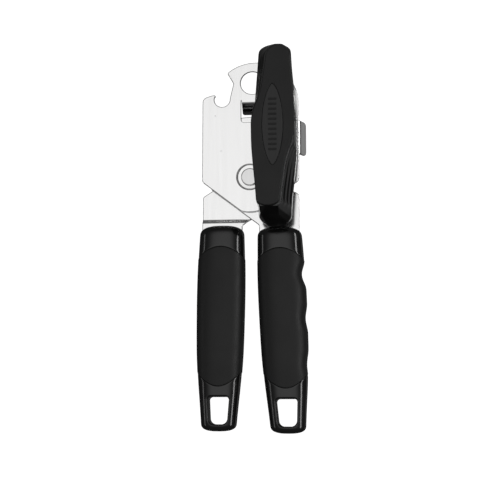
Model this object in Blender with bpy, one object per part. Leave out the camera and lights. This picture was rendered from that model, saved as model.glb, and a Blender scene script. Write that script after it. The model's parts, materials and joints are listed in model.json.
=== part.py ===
"""Manual can opener: two crossed steel levers, a can-cutting wheel and a hand-turned feed wheel.

The opener lies on its back. +X is to the right, +Y runs from the handles to the jaws and +Z points
up out of the front plate. Outlines are drawn about the pivot rivet, or about their own axle, and
the finished model is set down with the middle of its box on the origin and its back on z = 0.
"""

import bpy
import bmesh
from math import atan2, ceil, cos, degrees, hypot, pi, radians, sin, tan
from mathutils import Vector
from mathutils.geometry import tessellate_polygon

MM = 0.001

# Sheet metal and fits
SHEET = 1.5 * MM             # thickness of the plate and both arms
GAP = 0.3 * MM               # running clearance, and the gap between pieces that touch
ROUND_SEGMENTS = 24          # facets on turned pieces and round holes

# Front plate
PLATE_LEFT = -26.8 * MM
PLATE_RIGHT = 27.5 * MM
PLATE_CORNER_Y = -2.4 * MM   # where the straight sides turn into the lower diagonals
PLATE_FOOT_RADIUS = 19.9 * MM
PLATE_FOOT_ANGLE = 14.0      # half the angle of the round foot under the pivot, degrees
DOME_RADIUS = 24.6 * MM      # its right side runs on into the plate's right edge
DOME_Y = 41.3 * MM
HANG_HOLE_RADIUS = 6.5 * MM
HANG_HOLE = (1.3 * MM, 54.1 * MM)
WINDOW = (-4.9 * MM, 7.5 * MM, 31.3 * MM, 43.9 * MM)   # left, right, bottom, top
WINDOW_CORNER = 1.8 * MM
RIM_TAB_DROP = 6.6 * MM      # how far the lanced tab reaches behind the plate
RIM_TAB_LEAN = 50.0          # its bend away from the plate, degrees
RECESS_RADIUS = 7.3 * MM
RECESS_DEPTH = 0.8 * MM
NOTCH_CENTRE = (-15.7 * MM, 45.0 * MM)   # the crown-cap notch
NOTCH_RADIUS = 4.4 * MM

# Pivot
PIVOT_RADIUS = 3.0 * MM
PIVOT_HEAD_RADIUS = 4.9 * MM
PIVOT_HEAD_HEIGHT = 0.95 * MM

# Arms
ARM_HALF_WIDTH = 11.2 * MM   # where each arm enters its handle
ARM_SHOULDER = 6.2 * MM      # depth of the full-width arm inside the handle's mouth
ARM_TAPER = 3.0 * MM         # the arm narrows to its tang over this length
TANG_HALF_WIDTH = 6.3 * MM
TANG_LENGTH = 68.0 * MM      # from the handle's top to the end of the tang
JAW_RADIUS = 34.8 * MM       # the right arm's jaw is an arc about the pivot
JOGGLE_START = -23.2 * MM    # the left arm steps forward between these two heights
JOGGLE_END = -25.8 * MM
JOGGLE_CUTS = 6
FLANGE_BOTTOM = 13.4 * MM    # can-wall guide, bent back from the left arm's edge
FLANGE_TOP = 32.6 * MM
FLANGE_EDGE = 28.2 * MM
FLANGE_DROP = 6.4 * MM
FLANGE_LEAN = 26.0           # degrees off square

# Crank and feed wheel
CRANK_AXIS = (15.0 * MM, 21.8 * MM)
SHAFT_RADIUS = 3.0 * MM
SHAFT_IN_KNOB = 10.0 * MM
BUSHING_WALL = 1.5 * MM
BUSHING_FLANGE_RADIUS = 6.5 * MM
BUSHING_FLANGE_HEIGHT = 0.8 * MM
SPRING_WASHER_HEIGHT = 0.7 * MM
FEED_WASHER_HEIGHT = 0.5 * MM
FEED_WASHER_RADIUS = 5.5 * MM
FEED_WHEEL_RADIUS = 7.6 * MM
FEED_WHEEL_HEIGHT = 1.7 * MM
FEED_TEETH = 32
FEED_TOOTH_DEPTH = 0.7 * MM
FEED_NUT_RADIUS = 4.4 * MM

# Cutting wheel
CUTTER_AXIS = (0.0 * MM, 27.3 * MM)
CUTTER_RADIUS = 8.5 * MM
CUTTER_HEIGHT = 1.2 * MM
CUTTER_HUB_RADIUS = 5.0 * MM
AXLE_RADIUS = 2.4 * MM
AXLE_SHOULDER_RADIUS = 3.2 * MM
AXLE_HEAD_RADIUS = 4.2 * MM
CUTTER_WASHER_HEIGHT = 0.45 * MM

# Spacer rivets that tie the left arm to the front plate
SPACER_RIVETS = (("upper", 19.0 * MM, 45.5 * MM), ("lower", 21.5 * MM, 8.4 * MM))
SPACER_RADIUS = 3.0 * MM
SPACER_SHANK_RADIUS = 2.0 * MM
SPACER_HEAD_RADIUS = 3.4 * MM
SPACER_HEAD_HEIGHT = 0.8 * MM

# Knob, measured from the crank's axis
KNOB_HALF_LENGTH = 51.6 * MM
KNOB_END_SLOPE = 7.7 * MM    # the glossy body runs on this far past the end of the front face
KNOB_FACE_HALF_LENGTH = KNOB_HALF_LENGTH - KNOB_END_SLOPE
KNOB_FACE_CORNERS = (6.2 * MM, 3.4 * MM)    # upper and lower end
KNOB_WIDTHS = ((0, 11.9), (10, 11.7), (18, 11.15), (26, 10.4), (34, 9.65), (42, 9.1),
               (52, 8.7))    # distance from the axis, half width
KNOB_SHOULDER = ((0, 11.7), (5, 11.2), (9.5, 10.0), (14, 8.1), (20, 6.4), (28, 5.1), (36, 4.0),
                 (52, 2.6))  # distance from the axis, half width of the front face, cut side
KNOB_TOP = 32.5 * MM         # height of the front face above the handles' mid plane
KNOB_FACE_HEIGHT = 2.0 * MM
KNOB_END_RISE = 5.0 * MM     # the underside climbs toward both ends to pass over the handles
KNOB_END_HEIGHT = 1.6 * MM
BADGE_HALF_LENGTH = 22.5 * MM
BADGE_HALF_WIDTH = 5.9 * MM

# Handles, measured down from the top of each
HANDLE_LENGTH = 112.5 * MM
GRIP_TOP = 12.6 * MM
GRIP_TOP_ARCH = 6.0 * MM
GRIP_BOTTOM = HANDLE_LENGTH - 24.1 * MM
GRIP_BOTTOM_ARCH = 7.5 * MM
GRIP_WALL = 2.2 * MM
GRIP_PROUD = 0.2 * MM        # how far the grip stands out from the core
BACK_FLAT = 9.0 * MM         # mid plane to the flat that the opener rests on
TOP_CAP = 6.0 * MM           # length over which each end rounds off
BOTTOM_CAP = 4.5 * MM
END_POWER = 2.8              # squareness of the rounded ends
HANG_SLOT_TOP = HANDLE_LENGTH - 18.5 * MM
HANG_SLOT_BOTTOM = HANDLE_LENGTH - 3.8 * MM
HANG_SLOT_HALF_TOP = 5.9 * MM
HANG_SLOT_HALF_BOTTOM = 4.9 * MM
HANG_SLOT_TOP_CORNER = 1.8 * MM
HANG_SLOT_BOTTOM_CORNER = 3.2 * MM
HANDLE_END = HANDLE_LENGTH / MM
HANDLE_WIDTHS = ((0, 12.3), (20, 13.05), (34, 13.3), (48, 13.25), (HANDLE_END - 43.5, 12.85),
                 (HANDLE_END - 31.5, 12.2), (HANDLE_END - 22.5, 11.5), (HANDLE_END - 15.5, 10.85),
                 (HANDLE_END - 5.5, 10.0), (HANDLE_END, 9.7))           # position, half width
HANDLE_DEPTHS = ((0, 8.0), (12, 8.8), (25, 9.35), (50, 9.5), (HANDLE_END - 36.5, 9.2),
                 (HANDLE_END - 22.5, 7.8), (HANDLE_END, 6.8))           # position, half depth
LEFT_HANDLE = {"name": "left", "top": (-15.5 * MM, -27.2 * MM), "lean": -0.014, "finger": ()}
RIGHT_HANDLE = {"name": "right", "top": (16.2 * MM, -28.4 * MM), "lean": 0.040,
                "finger": ((26.6, 2.0), (50.6, 1.1), (75.2, 0.8))}      # position, depth
FINGER_REACH = 8.5 * MM
GRIP_RINGS = 13
HANDLE_FACETS = 28
SECTION_POWER = 2.5          # squareness of the handle's section

# Layers, from the mid plane of the handles
ARM_FRONT = SHEET / 2
ARM_BACK = -SHEET / 2
PLATE_BACK = ARM_FRONT + GAP
PLATE_FRONT = PLATE_BACK + SHEET
REAR_FRONT = ARM_BACK - GAP
REAR_BACK = REAR_FRONT - SHEET
BUSHING_FLANGE_TOP = PLATE_FRONT + GAP + BUSHING_FLANGE_HEIGHT
KNOB_BASE = BUSHING_FLANGE_TOP + GAP + SPRING_WASHER_HEIGHT + GAP
FEED_WASHER_BACK = REAR_BACK - 2 * GAP - FEED_WASHER_HEIGHT
FEED_WHEEL_FRONT = FEED_WASHER_BACK - GAP
FEED_WHEEL_BACK = FEED_WHEEL_FRONT - FEED_WHEEL_HEIGHT
CUTTER_FRONT = FEED_WHEEL_BACK - GAP
CUTTER_BACK = CUTTER_FRONT - CUTTER_HEIGHT

# Finishes: base colour, roughness, metallic
POLISHED = ((0.80, 0.80, 0.79), 0.22, 1.0)
ZINC = ((0.62, 0.62, 0.61), 0.32, 1.0)
HARDENED = ((0.47, 0.47, 0.48), 0.28, 1.0)
GLOSS_BLACK = ((0.010, 0.010, 0.011), 0.16, 0.0)
SOFT_BLACK = ((0.022, 0.022, 0.023), 0.62, 0.0)
BADGE_GREY = ((0.034, 0.034, 0.036), 0.50, 0.0)


# ---------------------------------------------------------------- drawing helpers

def arc(centre, radius, start, end, step=9.0):
    """Points on an arc, angles in degrees, running either way."""
    count = max(2, ceil(abs(end - start) / step) + 1)
    angles = [radians(start + (end - start) * i / (count - 1)) for i in range(count)]
    return [(centre[0] + radius * cos(a), centre[1] + radius * sin(a)) for a in angles]


def circle(centre, radius, segments=ROUND_SEGMENTS):
    return arc(centre, radius, 0, 360 * (segments - 1) / segments, 360 / segments)


def rounded(corners):
    """A polygon whose corners, given as x, y, radius, are filleted with short arcs."""
    points = []
    count = len(corners)
    for index, (x, y, radius) in enumerate(corners):
        if radius == 0:
            points.append((x, y))
            continue
        here = Vector((x, y))
        before = (Vector(corners[index - 1][:2]) - here).normalized()
        after = (Vector(corners[(index + 1) % count][:2]) - here).normalized()
        half = before.angle(after) / 2
        reach = radius / tan(half)
        centre = here + (before + after).normalized() * (radius / sin(half))
        first = here + before * reach - centre
        last = here + after * reach - centre
        start = degrees(atan2(first.y, first.x))
        turn = degrees(atan2(first.cross(last), first.dot(last)))
        points += arc(centre, radius, start, start + turn, 15.0)
    return points


def along(table, position):
    """Smooth curve through a short table of position, value pairs in millimetres."""
    place = position / MM
    last = len(table) - 2
    index = next((i for i in range(last) if place < table[i + 1][0]), last)

    def slope(i):
        low = table[max(i - 1, 0)]
        high = table[min(i + 1, len(table) - 1)]
        return (high[1] - low[1]) / (high[0] - low[0])

    (x0, y0), (x1, y1) = table[index], table[index + 1]
    span = x1 - x0
    t = min(max((place - x0) / span, 0.0), 1.0)
    value = (y0 * (2 * t**3 - 3 * t**2 + 1) + span * slope(index) * (t**3 - 2 * t**2 + t)
             + y1 * (3 * t**2 - 2 * t**3) + span * slope(index + 1) * (t**3 - t**2))
    return value * MM


def smoothstep(t):
    t = min(max(t, 0.0), 1.0)
    return t * t * (3 - 2 * t)


# ---------------------------------------------------------------- solids

def finished(name, mesh, parent, finish):
    """Wraps a mesh in a named object with its own material."""
    colour, roughness, metallic = finish
    material = bpy.data.materials.new(name)
    material.use_nodes = True
    shader = material.node_tree.nodes["Principled BSDF"]
    shader.inputs["Base Color"].default_value = (*colour, 1)
    shader.inputs["Roughness"].default_value = roughness
    shader.inputs["Metallic"].default_value = metallic
    material.diffuse_color = (*colour, 1)
    mesh.materials.append(material)
    mesh.shade_smooth()
    mesh.set_sharp_from_angle(angle=radians(35))
    thing = bpy.data.objects.new(name, mesh)
    bpy.context.collection.objects.link(thing)
    thing.parent = parent
    return thing


def mesh_from(name, vertices, faces):
    mesh = bpy.data.meshes.new(name)
    mesh.from_pydata(vertices, [], faces)
    shape = bmesh.new()
    shape.from_mesh(mesh)
    bmesh.ops.recalc_face_normals(shape, faces=shape.faces)
    shape.to_mesh(mesh)
    shape.free()
    return mesh


def plate_mesh(name, outline, holes, low, high):
    """A flat piece between two heights, with straight walls around its outline and holes."""
    loops = [outline, *holes]
    flat = [(x, y) for loop in loops for x, y in loop]
    count = len(flat)
    vertices = [(x, y, low) for x, y in flat] + [(x, y, high) for x, y in flat]
    faces = []
    for triangle in tessellate_polygon([[Vector((x, y, 0)) for x, y in loop] for loop in loops]):
        faces.append(tuple(triangle))
        faces.append(tuple(count + i for i in reversed(triangle)))
    start = 0
    for loop in loops:
        for i in range(len(loop)):
            a = start + i
            b = start + (i + 1) % len(loop)
            faces.append((a, b, count + b, count + a))
        start += len(loop)
    return mesh_from(name, vertices, faces)


def loft_mesh(name, rings, closed=False):
    """Skin over rings of equal length; the ends are closed with fans unless the rings form a loop."""
    size = len(rings[0])
    vertices = [point for ring in rings for point in ring]
    faces = []
    spans = len(rings) if closed else len(rings) - 1
    for r in range(spans):
        near = r * size
        far = (r + 1) % len(rings) * size
        for i in range(size):
            j = (i + 1) % size
            faces.append((near + i, near + j, far + j, far + i))
    if not closed:
        for ring, first in ((rings[0], 0), (rings[-1], (len(rings) - 1) * size)):
            centre = tuple(sum(point[k] for point in ring) / size for k in range(3))
            vertices.append(centre)
            hub = len(vertices) - 1
            faces += [(hub, first + i, first + (i + 1) % size) for i in range(size)]
    return mesh_from(name, vertices, faces)


def turned_mesh(name, profile, bored, segments=ROUND_SEGMENTS):
    """Turns a profile of radius, height pairs about Z; a bored profile is a closed loop."""
    rings = [[(radius * cos(2 * pi * i / segments), radius * sin(2 * pi * i / segments), height)
              for i in range(segments)] for radius, height in profile]
    return loft_mesh(name, rings, closed=bored)


def ring_profile(inner, outer, low, high, chamfer=0.15 * MM):
    return [(inner, low), (outer - chamfer, low), (outer, low + chamfer),
            (outer, high - chamfer), (outer - chamfer, high), (inner, high)]


def cutter(name, mesh, parent):
    tool = bpy.data.objects.new(name, mesh)
    bpy.context.collection.objects.link(tool)
    tool.parent = parent
    tool.hide_render = True
    tool.display_type = "WIRE"
    return tool


def subtract(thing, tool):
    step = thing.modifiers.new(tool.name, "BOOLEAN")
    step.operation = "DIFFERENCE"
    step.solver = "EXACT"
    step.object = tool


def empty(name, parent, place):
    axis = bpy.data.objects.new(name, None)
    bpy.context.collection.objects.link(axis)
    axis.parent = parent
    axis.location = (*place, 0)
    return axis


# ---------------------------------------------------------------- sheet metal

def front_plate(parent):
    foot = arc((0, 0), PLATE_FOOT_RADIUS, -90 - PLATE_FOOT_ANGLE, -90 + PLATE_FOOT_ANGLE)
    dome_x = PLATE_RIGHT - DOME_RADIUS
    dome = arc((dome_x, DOME_Y), DOME_RADIUS, 0, 128)
    corners = [(PLATE_LEFT, PLATE_CORNER_Y, 3 * MM)]
    corners += [(x, y, 0) for x, y in foot]
    corners += [(PLATE_RIGHT, PLATE_CORNER_Y, 3 * MM)]
    corners += [(x, y, 0) for x, y in dome]
    tooth_x, tooth_y = dome[-1]
    corners += [(tooth_x - 0.4 * MM, tooth_y - 0.9 * MM, 0),
                (NOTCH_CENTRE[0] + 6.4 * MM, NOTCH_CENTRE[1] + 9.0 * MM, 1.6 * MM)]
    corners += [(x, y, 0) for x, y in arc(NOTCH_CENTRE, NOTCH_RADIUS, 5, -190, 15)]
    hook_y = NOTCH_CENTRE[1] + 2.2 * MM
    corners += [(NOTCH_CENTRE[0] - 3.6 * MM, hook_y - 0.4 * MM, 0),
                (NOTCH_CENTRE[0] - 4.2 * MM, hook_y + 0.4 * MM, 0),
                (PLATE_LEFT + 5.2 * MM, hook_y + 0.2 * MM, 0),
                (PLATE_LEFT, hook_y - 1.4 * MM, 4.6 * MM)]
    left, right, bottom, top = WINDOW
    window = rounded([(left, bottom, WINDOW_CORNER), (right, bottom, WINDOW_CORNER),
                      (right, top, WINDOW_CORNER), (left, top, WINDOW_CORNER)])
    holes = [circle(HANG_HOLE, HANG_HOLE_RADIUS),
             window,
             circle((0, 0), PIVOT_RADIUS + GAP),
             circle(CRANK_AXIS, SHAFT_RADIUS + GAP + BUSHING_WALL + GAP)]
    holes += [circle((x, y), SPACER_SHANK_RADIUS + GAP, 20) for _, x, y in SPACER_RIVETS]
    mesh = plate_mesh("front_plate", rounded(corners), holes, PLATE_BACK, PLATE_FRONT)
    plate = finished("front_plate", mesh, parent, POLISHED)

    recess = circle((0, 0), RECESS_RADIUS, 36)
    mesh = plate_mesh("recess_cutter", recess, [], PLATE_FRONT - RECESS_DEPTH, PLATE_FRONT + SHEET)
    subtract(plate, cutter("recess_cutter", mesh, parent))

    tab = cutter("rim_tab", rim_tab_mesh(), parent)
    join = plate.modifiers.new("rim_tab", "BOOLEAN")
    join.operation = "UNION"
    join.solver = "EXACT"
    join.object = tab
    return plate


def rim_tab_mesh():
    """The tongue lanced from the window's top edge and bent behind the plate."""
    left, right, _, top = WINDOW
    lean = radians(RIM_TAB_LEAN)
    side = WINDOW_CORNER / 2
    rear = (-cos(lean), -sin(lean))
    root = (top + 0.8 * MM, PLATE_BACK + 0.1 * MM)
    length = RIM_TAB_DROP / sin(lean)
    tip = (root[0] + rear[0] * length, root[1] + rear[1] * length)
    thick = (-sin(lean) * SHEET * 0.9, cos(lean) * SHEET * 0.9)
    section = [root, tip, (tip[0] + thick[0], tip[1] + thick[1]),
               (top - 0.6 * MM, PLATE_FRONT - 0.4 * MM), (top + 0.8 * MM, PLATE_FRONT - 0.4 * MM)]
    rings = [[(x, y, z) for y, z in section] for x in (left + side, right - side)]
    return loft_mesh("rim_tab", rings)


def tang_corners(handle, inward, fit=0.0):
    """Right and left edges of an arm's tang inside its handle, from the shoulder down."""
    top_x, top_y = handle["top"]
    half = TANG_HALF_WIDTH + fit
    pairs = []
    for depth in (ARM_SHOULDER + ARM_TAPER + fit, TANG_LENGTH + fit):
        middle = top_x + handle["lean"] * depth
        pairs.append((middle - half, middle + half, top_y - depth))
    (left0, right0, y0), (left1, right1, y1) = pairs
    left_side = [(left0, y0, 0), (left1, y1, 2 * MM)]
    right_side = [(right1, y1, 2 * MM), (right0, y0, 0)]
    return left_side + right_side if inward else right_side[::-1] + left_side[::-1]


def arm_mouth(handle):
    """Left and right edge of the full-width arm where it enters its handle."""
    top_x = handle["top"][0]
    return top_x - ARM_HALF_WIDTH, top_x + ARM_HALF_WIDTH


def left_arm(parent):
    left, right = arm_mouth(LEFT_HANDLE)
    shoulder = LEFT_HANDLE["top"][1] - ARM_SHOULDER
    crank_x, crank_y = CRANK_AXIS
    _, upper_x, upper_y = SPACER_RIVETS[0]
    swept = hypot(*CUTTER_AXIS) - AXLE_SHOULDER_RADIUS - 2 * GAP    # the axle's path on the far side
    axle_side = CUTTER_AXIS[0] + AXLE_SHOULDER_RADIUS + 6 * GAP
    tab_side = WINDOW[1] + 4 * GAP
    edge = FLANGE_EDGE - 2.6 * MM
    corners = [(left, shoulder, 0.8 * MM), *tang_corners(LEFT_HANDLE, True),
               (right, shoulder, 0.8 * MM), (right, JOGGLE_END - 1.4 * MM, 1.5 * MM),
               (edge - 3.5 * MM, -7.0 * MM, 3 * MM), (edge, -1.0 * MM, 3 * MM),
               (edge, FLANGE_BOTTOM, 0.8 * MM), (FLANGE_EDGE, FLANGE_BOTTOM, 0),
               (FLANGE_EDGE, FLANGE_TOP, 0), (edge, FLANGE_TOP, 0.8 * MM)]
    corners += [(x, y, 0) for x, y in arc((upper_x, upper_y), edge - upper_x, 0, 165, 15)]
    corners += [(tab_side, crank_y + 10 * MM, 1.5 * MM), (axle_side, crank_y + 8 * MM, 0),
                (axle_side, swept * 0.96, 1.5 * MM), (-3.0 * MM, swept * 0.94, 2 * MM),
                (-14.0 * MM, 5.0 * MM, 6 * MM), (-20.5 * MM, -6.4 * MM, 4 * MM),
                (left, -10.4 * MM, 2 * MM)]
    holes = [circle((0, 0), PIVOT_RADIUS + GAP),
             circle(CRANK_AXIS, SHAFT_RADIUS + GAP + BUSHING_WALL + GAP)]
    holes += [circle((x, y), SPACER_SHANK_RADIUS + GAP, 20) for _, x, y in SPACER_RIVETS]
    mesh = plate_mesh("left_arm", rounded(corners), holes, REAR_BACK, REAR_FRONT)
    joggle(mesh)
    arm = finished("left_arm", mesh, parent, POLISHED)
    flange = cutter("guide_flange", guide_flange_mesh(), parent)
    join = arm.modifiers.new("guide_flange", "BOOLEAN")
    join.operation = "UNION"
    join.solver = "EXACT"
    join.object = flange
    return arm


def joggle(mesh):
    """Steps the lower part of the left arm forward into the handles' mid plane."""
    shape = bmesh.new()
    shape.from_mesh(mesh)
    for i in range(JOGGLE_CUTS + 1):
        height = JOGGLE_START + (JOGGLE_END - JOGGLE_START) * i / JOGGLE_CUTS
        everything = shape.verts[:] + shape.edges[:] + shape.faces[:]
        bmesh.ops.bisect_plane(shape, geom=everything, dist=1e-6,
                               plane_co=(0, height, 0), plane_no=(0, 1, 0))
    step = ARM_BACK - REAR_BACK
    for vertex in shape.verts:
        share = (JOGGLE_START - vertex.co.y) / (JOGGLE_START - JOGGLE_END)
        vertex.co.z += step * smoothstep(share)
    shape.to_mesh(mesh)
    shape.free()


def guide_flange_mesh():
    lean = radians(FLANGE_LEAN)
    out = Vector((sin(lean), 0, -cos(lean)))
    wall = Vector((cos(lean), 0, sin(lean))) * SHEET
    root = Vector((FLANGE_EDGE - SHEET, 0, REAR_BACK + 0.3 * MM))
    span = FLANGE_TOP - FLANGE_BOTTOM
    length = FLANGE_DROP / cos(lean)
    profile = rounded([(0, 0, 0), (length, 2.2 * MM, 1.0 * MM), (length, span, 2.4 * MM), (0, span, 0)])
    start = FLANGE_BOTTOM + 0.05 * MM
    rings = []
    for side in (Vector(), wall):
        base = root + side
        rings.append([tuple(base + out * a + Vector((0, start + b * 0.99, 0))) for a, b in profile])
    return loft_mesh("guide_flange", rings)


def right_arm(parent):
    left, right = arm_mouth(RIGHT_HANDLE)
    shoulder = RIGHT_HANDLE["top"][1] - ARM_SHOULDER
    bushing_side = CRANK_AXIS[0] - SHAFT_RADIUS - BUSHING_WALL - 9 * GAP
    corners = [(left, shoulder, 0.8 * MM), *tang_corners(RIGHT_HANDLE, True),
               (right, shoulder, 0.8 * MM), (right, -9.8 * MM, 3 * MM), (20.5 * MM, -6.6 * MM, 4 * MM),
               (13.0 * MM, 4.0 * MM, 6 * MM), (bushing_side, 15.0 * MM, 4 * MM)]
    corners += [(x, y, 0) for x, y in arc((0, 0), JAW_RADIUS, 78, 126, 6)]
    corners += [(-17.5 * MM, 6.0 * MM, 6 * MM), (-22.0 * MM, -6.4 * MM, 1.2 * MM),
                (left, -27.0 * MM, 2 * MM)]
    holes = [circle((0, 0), PIVOT_RADIUS + GAP), circle(CUTTER_AXIS, AXLE_RADIUS + GAP)]
    mesh = plate_mesh("right_arm", rounded(corners), holes, ARM_BACK, ARM_FRONT)
    return finished("right_arm", mesh, parent, POLISHED)


# ---------------------------------------------------------------- handles

def half_width(depth):
    return along(HANDLE_WIDTHS, depth) * end_rounding(depth)


def half_depth(depth):
    return along(HANDLE_DEPTHS, depth) * end_rounding(depth)


def end_rounding(depth):
    top = min(max(depth / TOP_CAP, 0.0), 1.0)
    bottom = min(max((HANDLE_LENGTH - depth) / BOTTOM_CAP, 0.0), 1.0)
    return ((1 - (1 - top) ** END_POWER) * (1 - (1 - bottom) ** END_POWER)) ** (1 / END_POWER)


def handle_ring(handle, depth_at, inset):
    """One section of a handle; depth_at gives its depth at each place across the width."""
    top_x, top_y = handle["top"]
    ring = []
    for i in range(HANDLE_FACETS):
        angle = 2 * pi * (i + 0.5) / HANDLE_FACETS
        across = abs(cos(angle)) ** (2 / SECTION_POWER) * (1 if cos(angle) > 0 else -1)
        up = abs(sin(angle)) ** (2 / SECTION_POWER) * (1 if sin(angle) > 0 else -1)
        depth = depth_at(across)
        width = max(half_width(depth) - inset, 0.4 * MM)
        if across > 0:
            width -= finger_cut(handle, depth) * across
        height = max(half_depth(depth) - inset, 0.4 * MM)
        z = max(up * height, inset - BACK_FLAT)
        ring.append((top_x + handle["lean"] * depth + across * width, top_y - depth, z))
    return ring


def finger_cut(handle, depth):
    """How far the finger hollows cut into the outer side of the right grip."""
    cut = 0.0
    for place, hollow in handle["finger"]:
        away = min(abs(depth - place * MM) / FINGER_REACH, 1.0)
        cut += hollow * MM * (0.5 + 0.5 * cos(pi * away))
    return cut


def grip_edge(share, offset=0.0):
    """Depth of a ring between the grip's two arched ends, for a place across the width."""
    def depth_at(across):
        top = GRIP_TOP + GRIP_TOP_ARCH * across**2 - offset
        bottom = GRIP_BOTTOM - GRIP_BOTTOM_ARCH * across**2 + offset
        return top + (bottom - top) * share
    return depth_at


def core_depth(share, end):
    """Depth of a ring between an end of the core and the grip's edge."""
    def depth_at(across):
        edge = grip_edge(0 if end == 0 else 1, GAP)(across)
        return end + (edge - end) * share
    return depth_at


def handle_core(handle, parent):
    """The glossy core: full section at both ends, with a waist that the grip sits on."""
    waist = GRIP_PROUD + GRIP_WALL
    shares = (0.01, 0.06, 0.15, 0.3, 0.5, 0.75, 1.0)
    rings = [handle_ring(handle, core_depth(s, 0), GRIP_PROUD) for s in shares]
    rings += [handle_ring(handle, grip_edge(s, GAP), waist) for s in (0, 0.25, 0.5, 0.75, 1)]
    rings += [handle_ring(handle, core_depth(s, HANDLE_LENGTH), GRIP_PROUD)
              for s in (1.0, 0.75, 0.5, 0.25, 0.12, 0.05, 0.01)]
    name = handle["name"] + "_handle"
    core = finished(name, loft_mesh(name, rings), parent, GLOSS_BLACK)
    subtract(core, tang_cutter(handle, parent))
    subtract(core, hang_slot_cutter(handle, parent))
    return core


def tang_cutter(handle, parent):
    left, right = arm_mouth(handle)
    mouth = handle["top"][1] - ARM_SHOULDER - GAP
    above = handle["top"][1] + 5 * MM
    corners = [(left - GAP, above, 0), (left - GAP, mouth, 0), *tang_corners(handle, True, GAP),
               (right + GAP, mouth, 0), (right + GAP, above, 0)]
    name = handle["name"] + "_tang_cutter"
    mesh = plate_mesh(name, rounded(corners), [], ARM_BACK - GAP, ARM_FRONT + GAP)
    return cutter(name, mesh, parent)


def hang_slot_cutter(handle, parent):
    top_x, top_y = handle["top"]
    middle_top = top_x + handle["lean"] * HANG_SLOT_TOP
    middle_bottom = top_x + handle["lean"] * HANG_SLOT_BOTTOM
    outline = rounded([
        (middle_bottom - HANG_SLOT_HALF_BOTTOM, top_y - HANG_SLOT_BOTTOM, HANG_SLOT_BOTTOM_CORNER),
        (middle_bottom + HANG_SLOT_HALF_BOTTOM, top_y - HANG_SLOT_BOTTOM, HANG_SLOT_BOTTOM_CORNER),
        (middle_top + HANG_SLOT_HALF_TOP, top_y - HANG_SLOT_TOP, HANG_SLOT_TOP_CORNER),
        (middle_top - HANG_SLOT_HALF_TOP, top_y - HANG_SLOT_TOP, HANG_SLOT_TOP_CORNER)])
    name = handle["name"] + "_hang_slot_cutter"
    mesh = plate_mesh(name, outline, [], -2 * BACK_FLAT, 2 * BACK_FLAT)
    return cutter(name, mesh, parent)


def handle_grip(handle, parent):
    """The soft sleeve, arched at both ends; finger hollows follow the right one's outer side."""
    shares = [i / (GRIP_RINGS - 1) for i in range(GRIP_RINGS)]
    rings = [handle_ring(handle, grip_edge(s), 0) for s in shares]
    rings += [handle_ring(handle, grip_edge(s), GRIP_PROUD + GRIP_WALL - GAP)
              for s in (1, 0.75, 0.5, 0.25, 0)]
    name = handle["name"] + "_grip"
    return finished(name, loft_mesh(name, rings, closed=True), parent, SOFT_BLACK)


# ---------------------------------------------------------------- knob

def rim_half_width(along_knob):
    return along(KNOB_WIDTHS, abs(along_knob))


def face_edge(along_knob):
    """Right edge of the front face: full width above the axis, cut back below it."""
    if along_knob >= 0:
        return rim_half_width(along_knob) - 0.3 * MM
    cut = along(KNOB_SHOULDER, -along_knob)
    return min(cut, rim_half_width(along_knob) - 0.3 * MM)


def end_cap(along_knob, limit, reach, power=2.0):
    share = min(max((limit - abs(along_knob)) / reach, 0.0), 1.0)
    return (1 - (1 - share) ** power) ** (1 / power)


def knob_stations(limit, reach):
    """Places along the knob, closer together at its rounded ends."""
    middle = [limit - reach - (limit - reach) * i / 9 for i in range(1, 18)]
    ends = [limit - reach * s for s in (0.02, 0.1, 0.25, 0.5, 1.0)]
    return ends + middle + [-place for place in reversed(ends)]


def knob_core(parent):
    """The glossy body: one side of each arm is cut back, the other is full width."""
    reach = KNOB_HALF_LENGTH - KNOB_FACE_HALF_LENGTH
    top = KNOB_TOP - KNOB_FACE_HEIGHT - GAP
    rings = []
    for place in knob_stations(KNOB_HALF_LENGTH, reach):
        base = KNOB_BASE + KNOB_END_RISE * smoothstep((abs(place) - 12 * MM) / (26 * MM))
        round_off = end_cap(place, KNOB_HALF_LENGTH, reach * 0.75)
        slope = end_cap(place, KNOB_HALF_LENGTH, reach, 1.05)
        crown = base + KNOB_END_HEIGHT + (top - base - KNOB_END_HEIGHT) * slope
        corner, least = (KNOB_FACE_CORNERS[0], 0.45) if place > 0 else (KNOB_FACE_CORNERS[1], 0.78)
        narrowing = max(end_cap(place, KNOB_FACE_HALF_LENGTH + 2 * GAP, corner), least)
        wide = max(rim_half_width(place) * round_off, 1.2 * MM)
        off_centre = (face_edge(place) - face_edge(-place)) / 2 * round_off
        half_crown = max((face_edge(place) + face_edge(-place)) / 2 * narrowing * round_off, 0.6 * MM)
        right = off_centre + half_crown
        left = off_centre - half_crown
        middle = (crown - base) * 0.3 + base
        section = [(-wide + 1 * MM, base), (-wide, base + 1 * MM), (-wide, middle),
                   (left - 0.1 * MM, crown - 0.6 * MM), (left + 0.3 * MM, crown),
                   (right - 0.3 * MM, crown), (right + 0.1 * MM, crown - 0.6 * MM),
                   (wide, middle), (wide, base + 1 * MM), (wide - 1 * MM, base)]
        rings.append([(x, place, z) for x, z in section])
    core = finished("knob_core", loft_mesh("knob_core", rings), parent, GLOSS_BLACK)
    bore = SHAFT_RADIUS + GAP
    profile = [(bore, KNOB_BASE + SHAFT_IN_KNOB + GAP), (bore, KNOB_BASE - SHEET)]
    subtract(core, cutter("shaft_cutter", turned_mesh("shaft_cutter", profile, False), parent))
    return core


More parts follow.
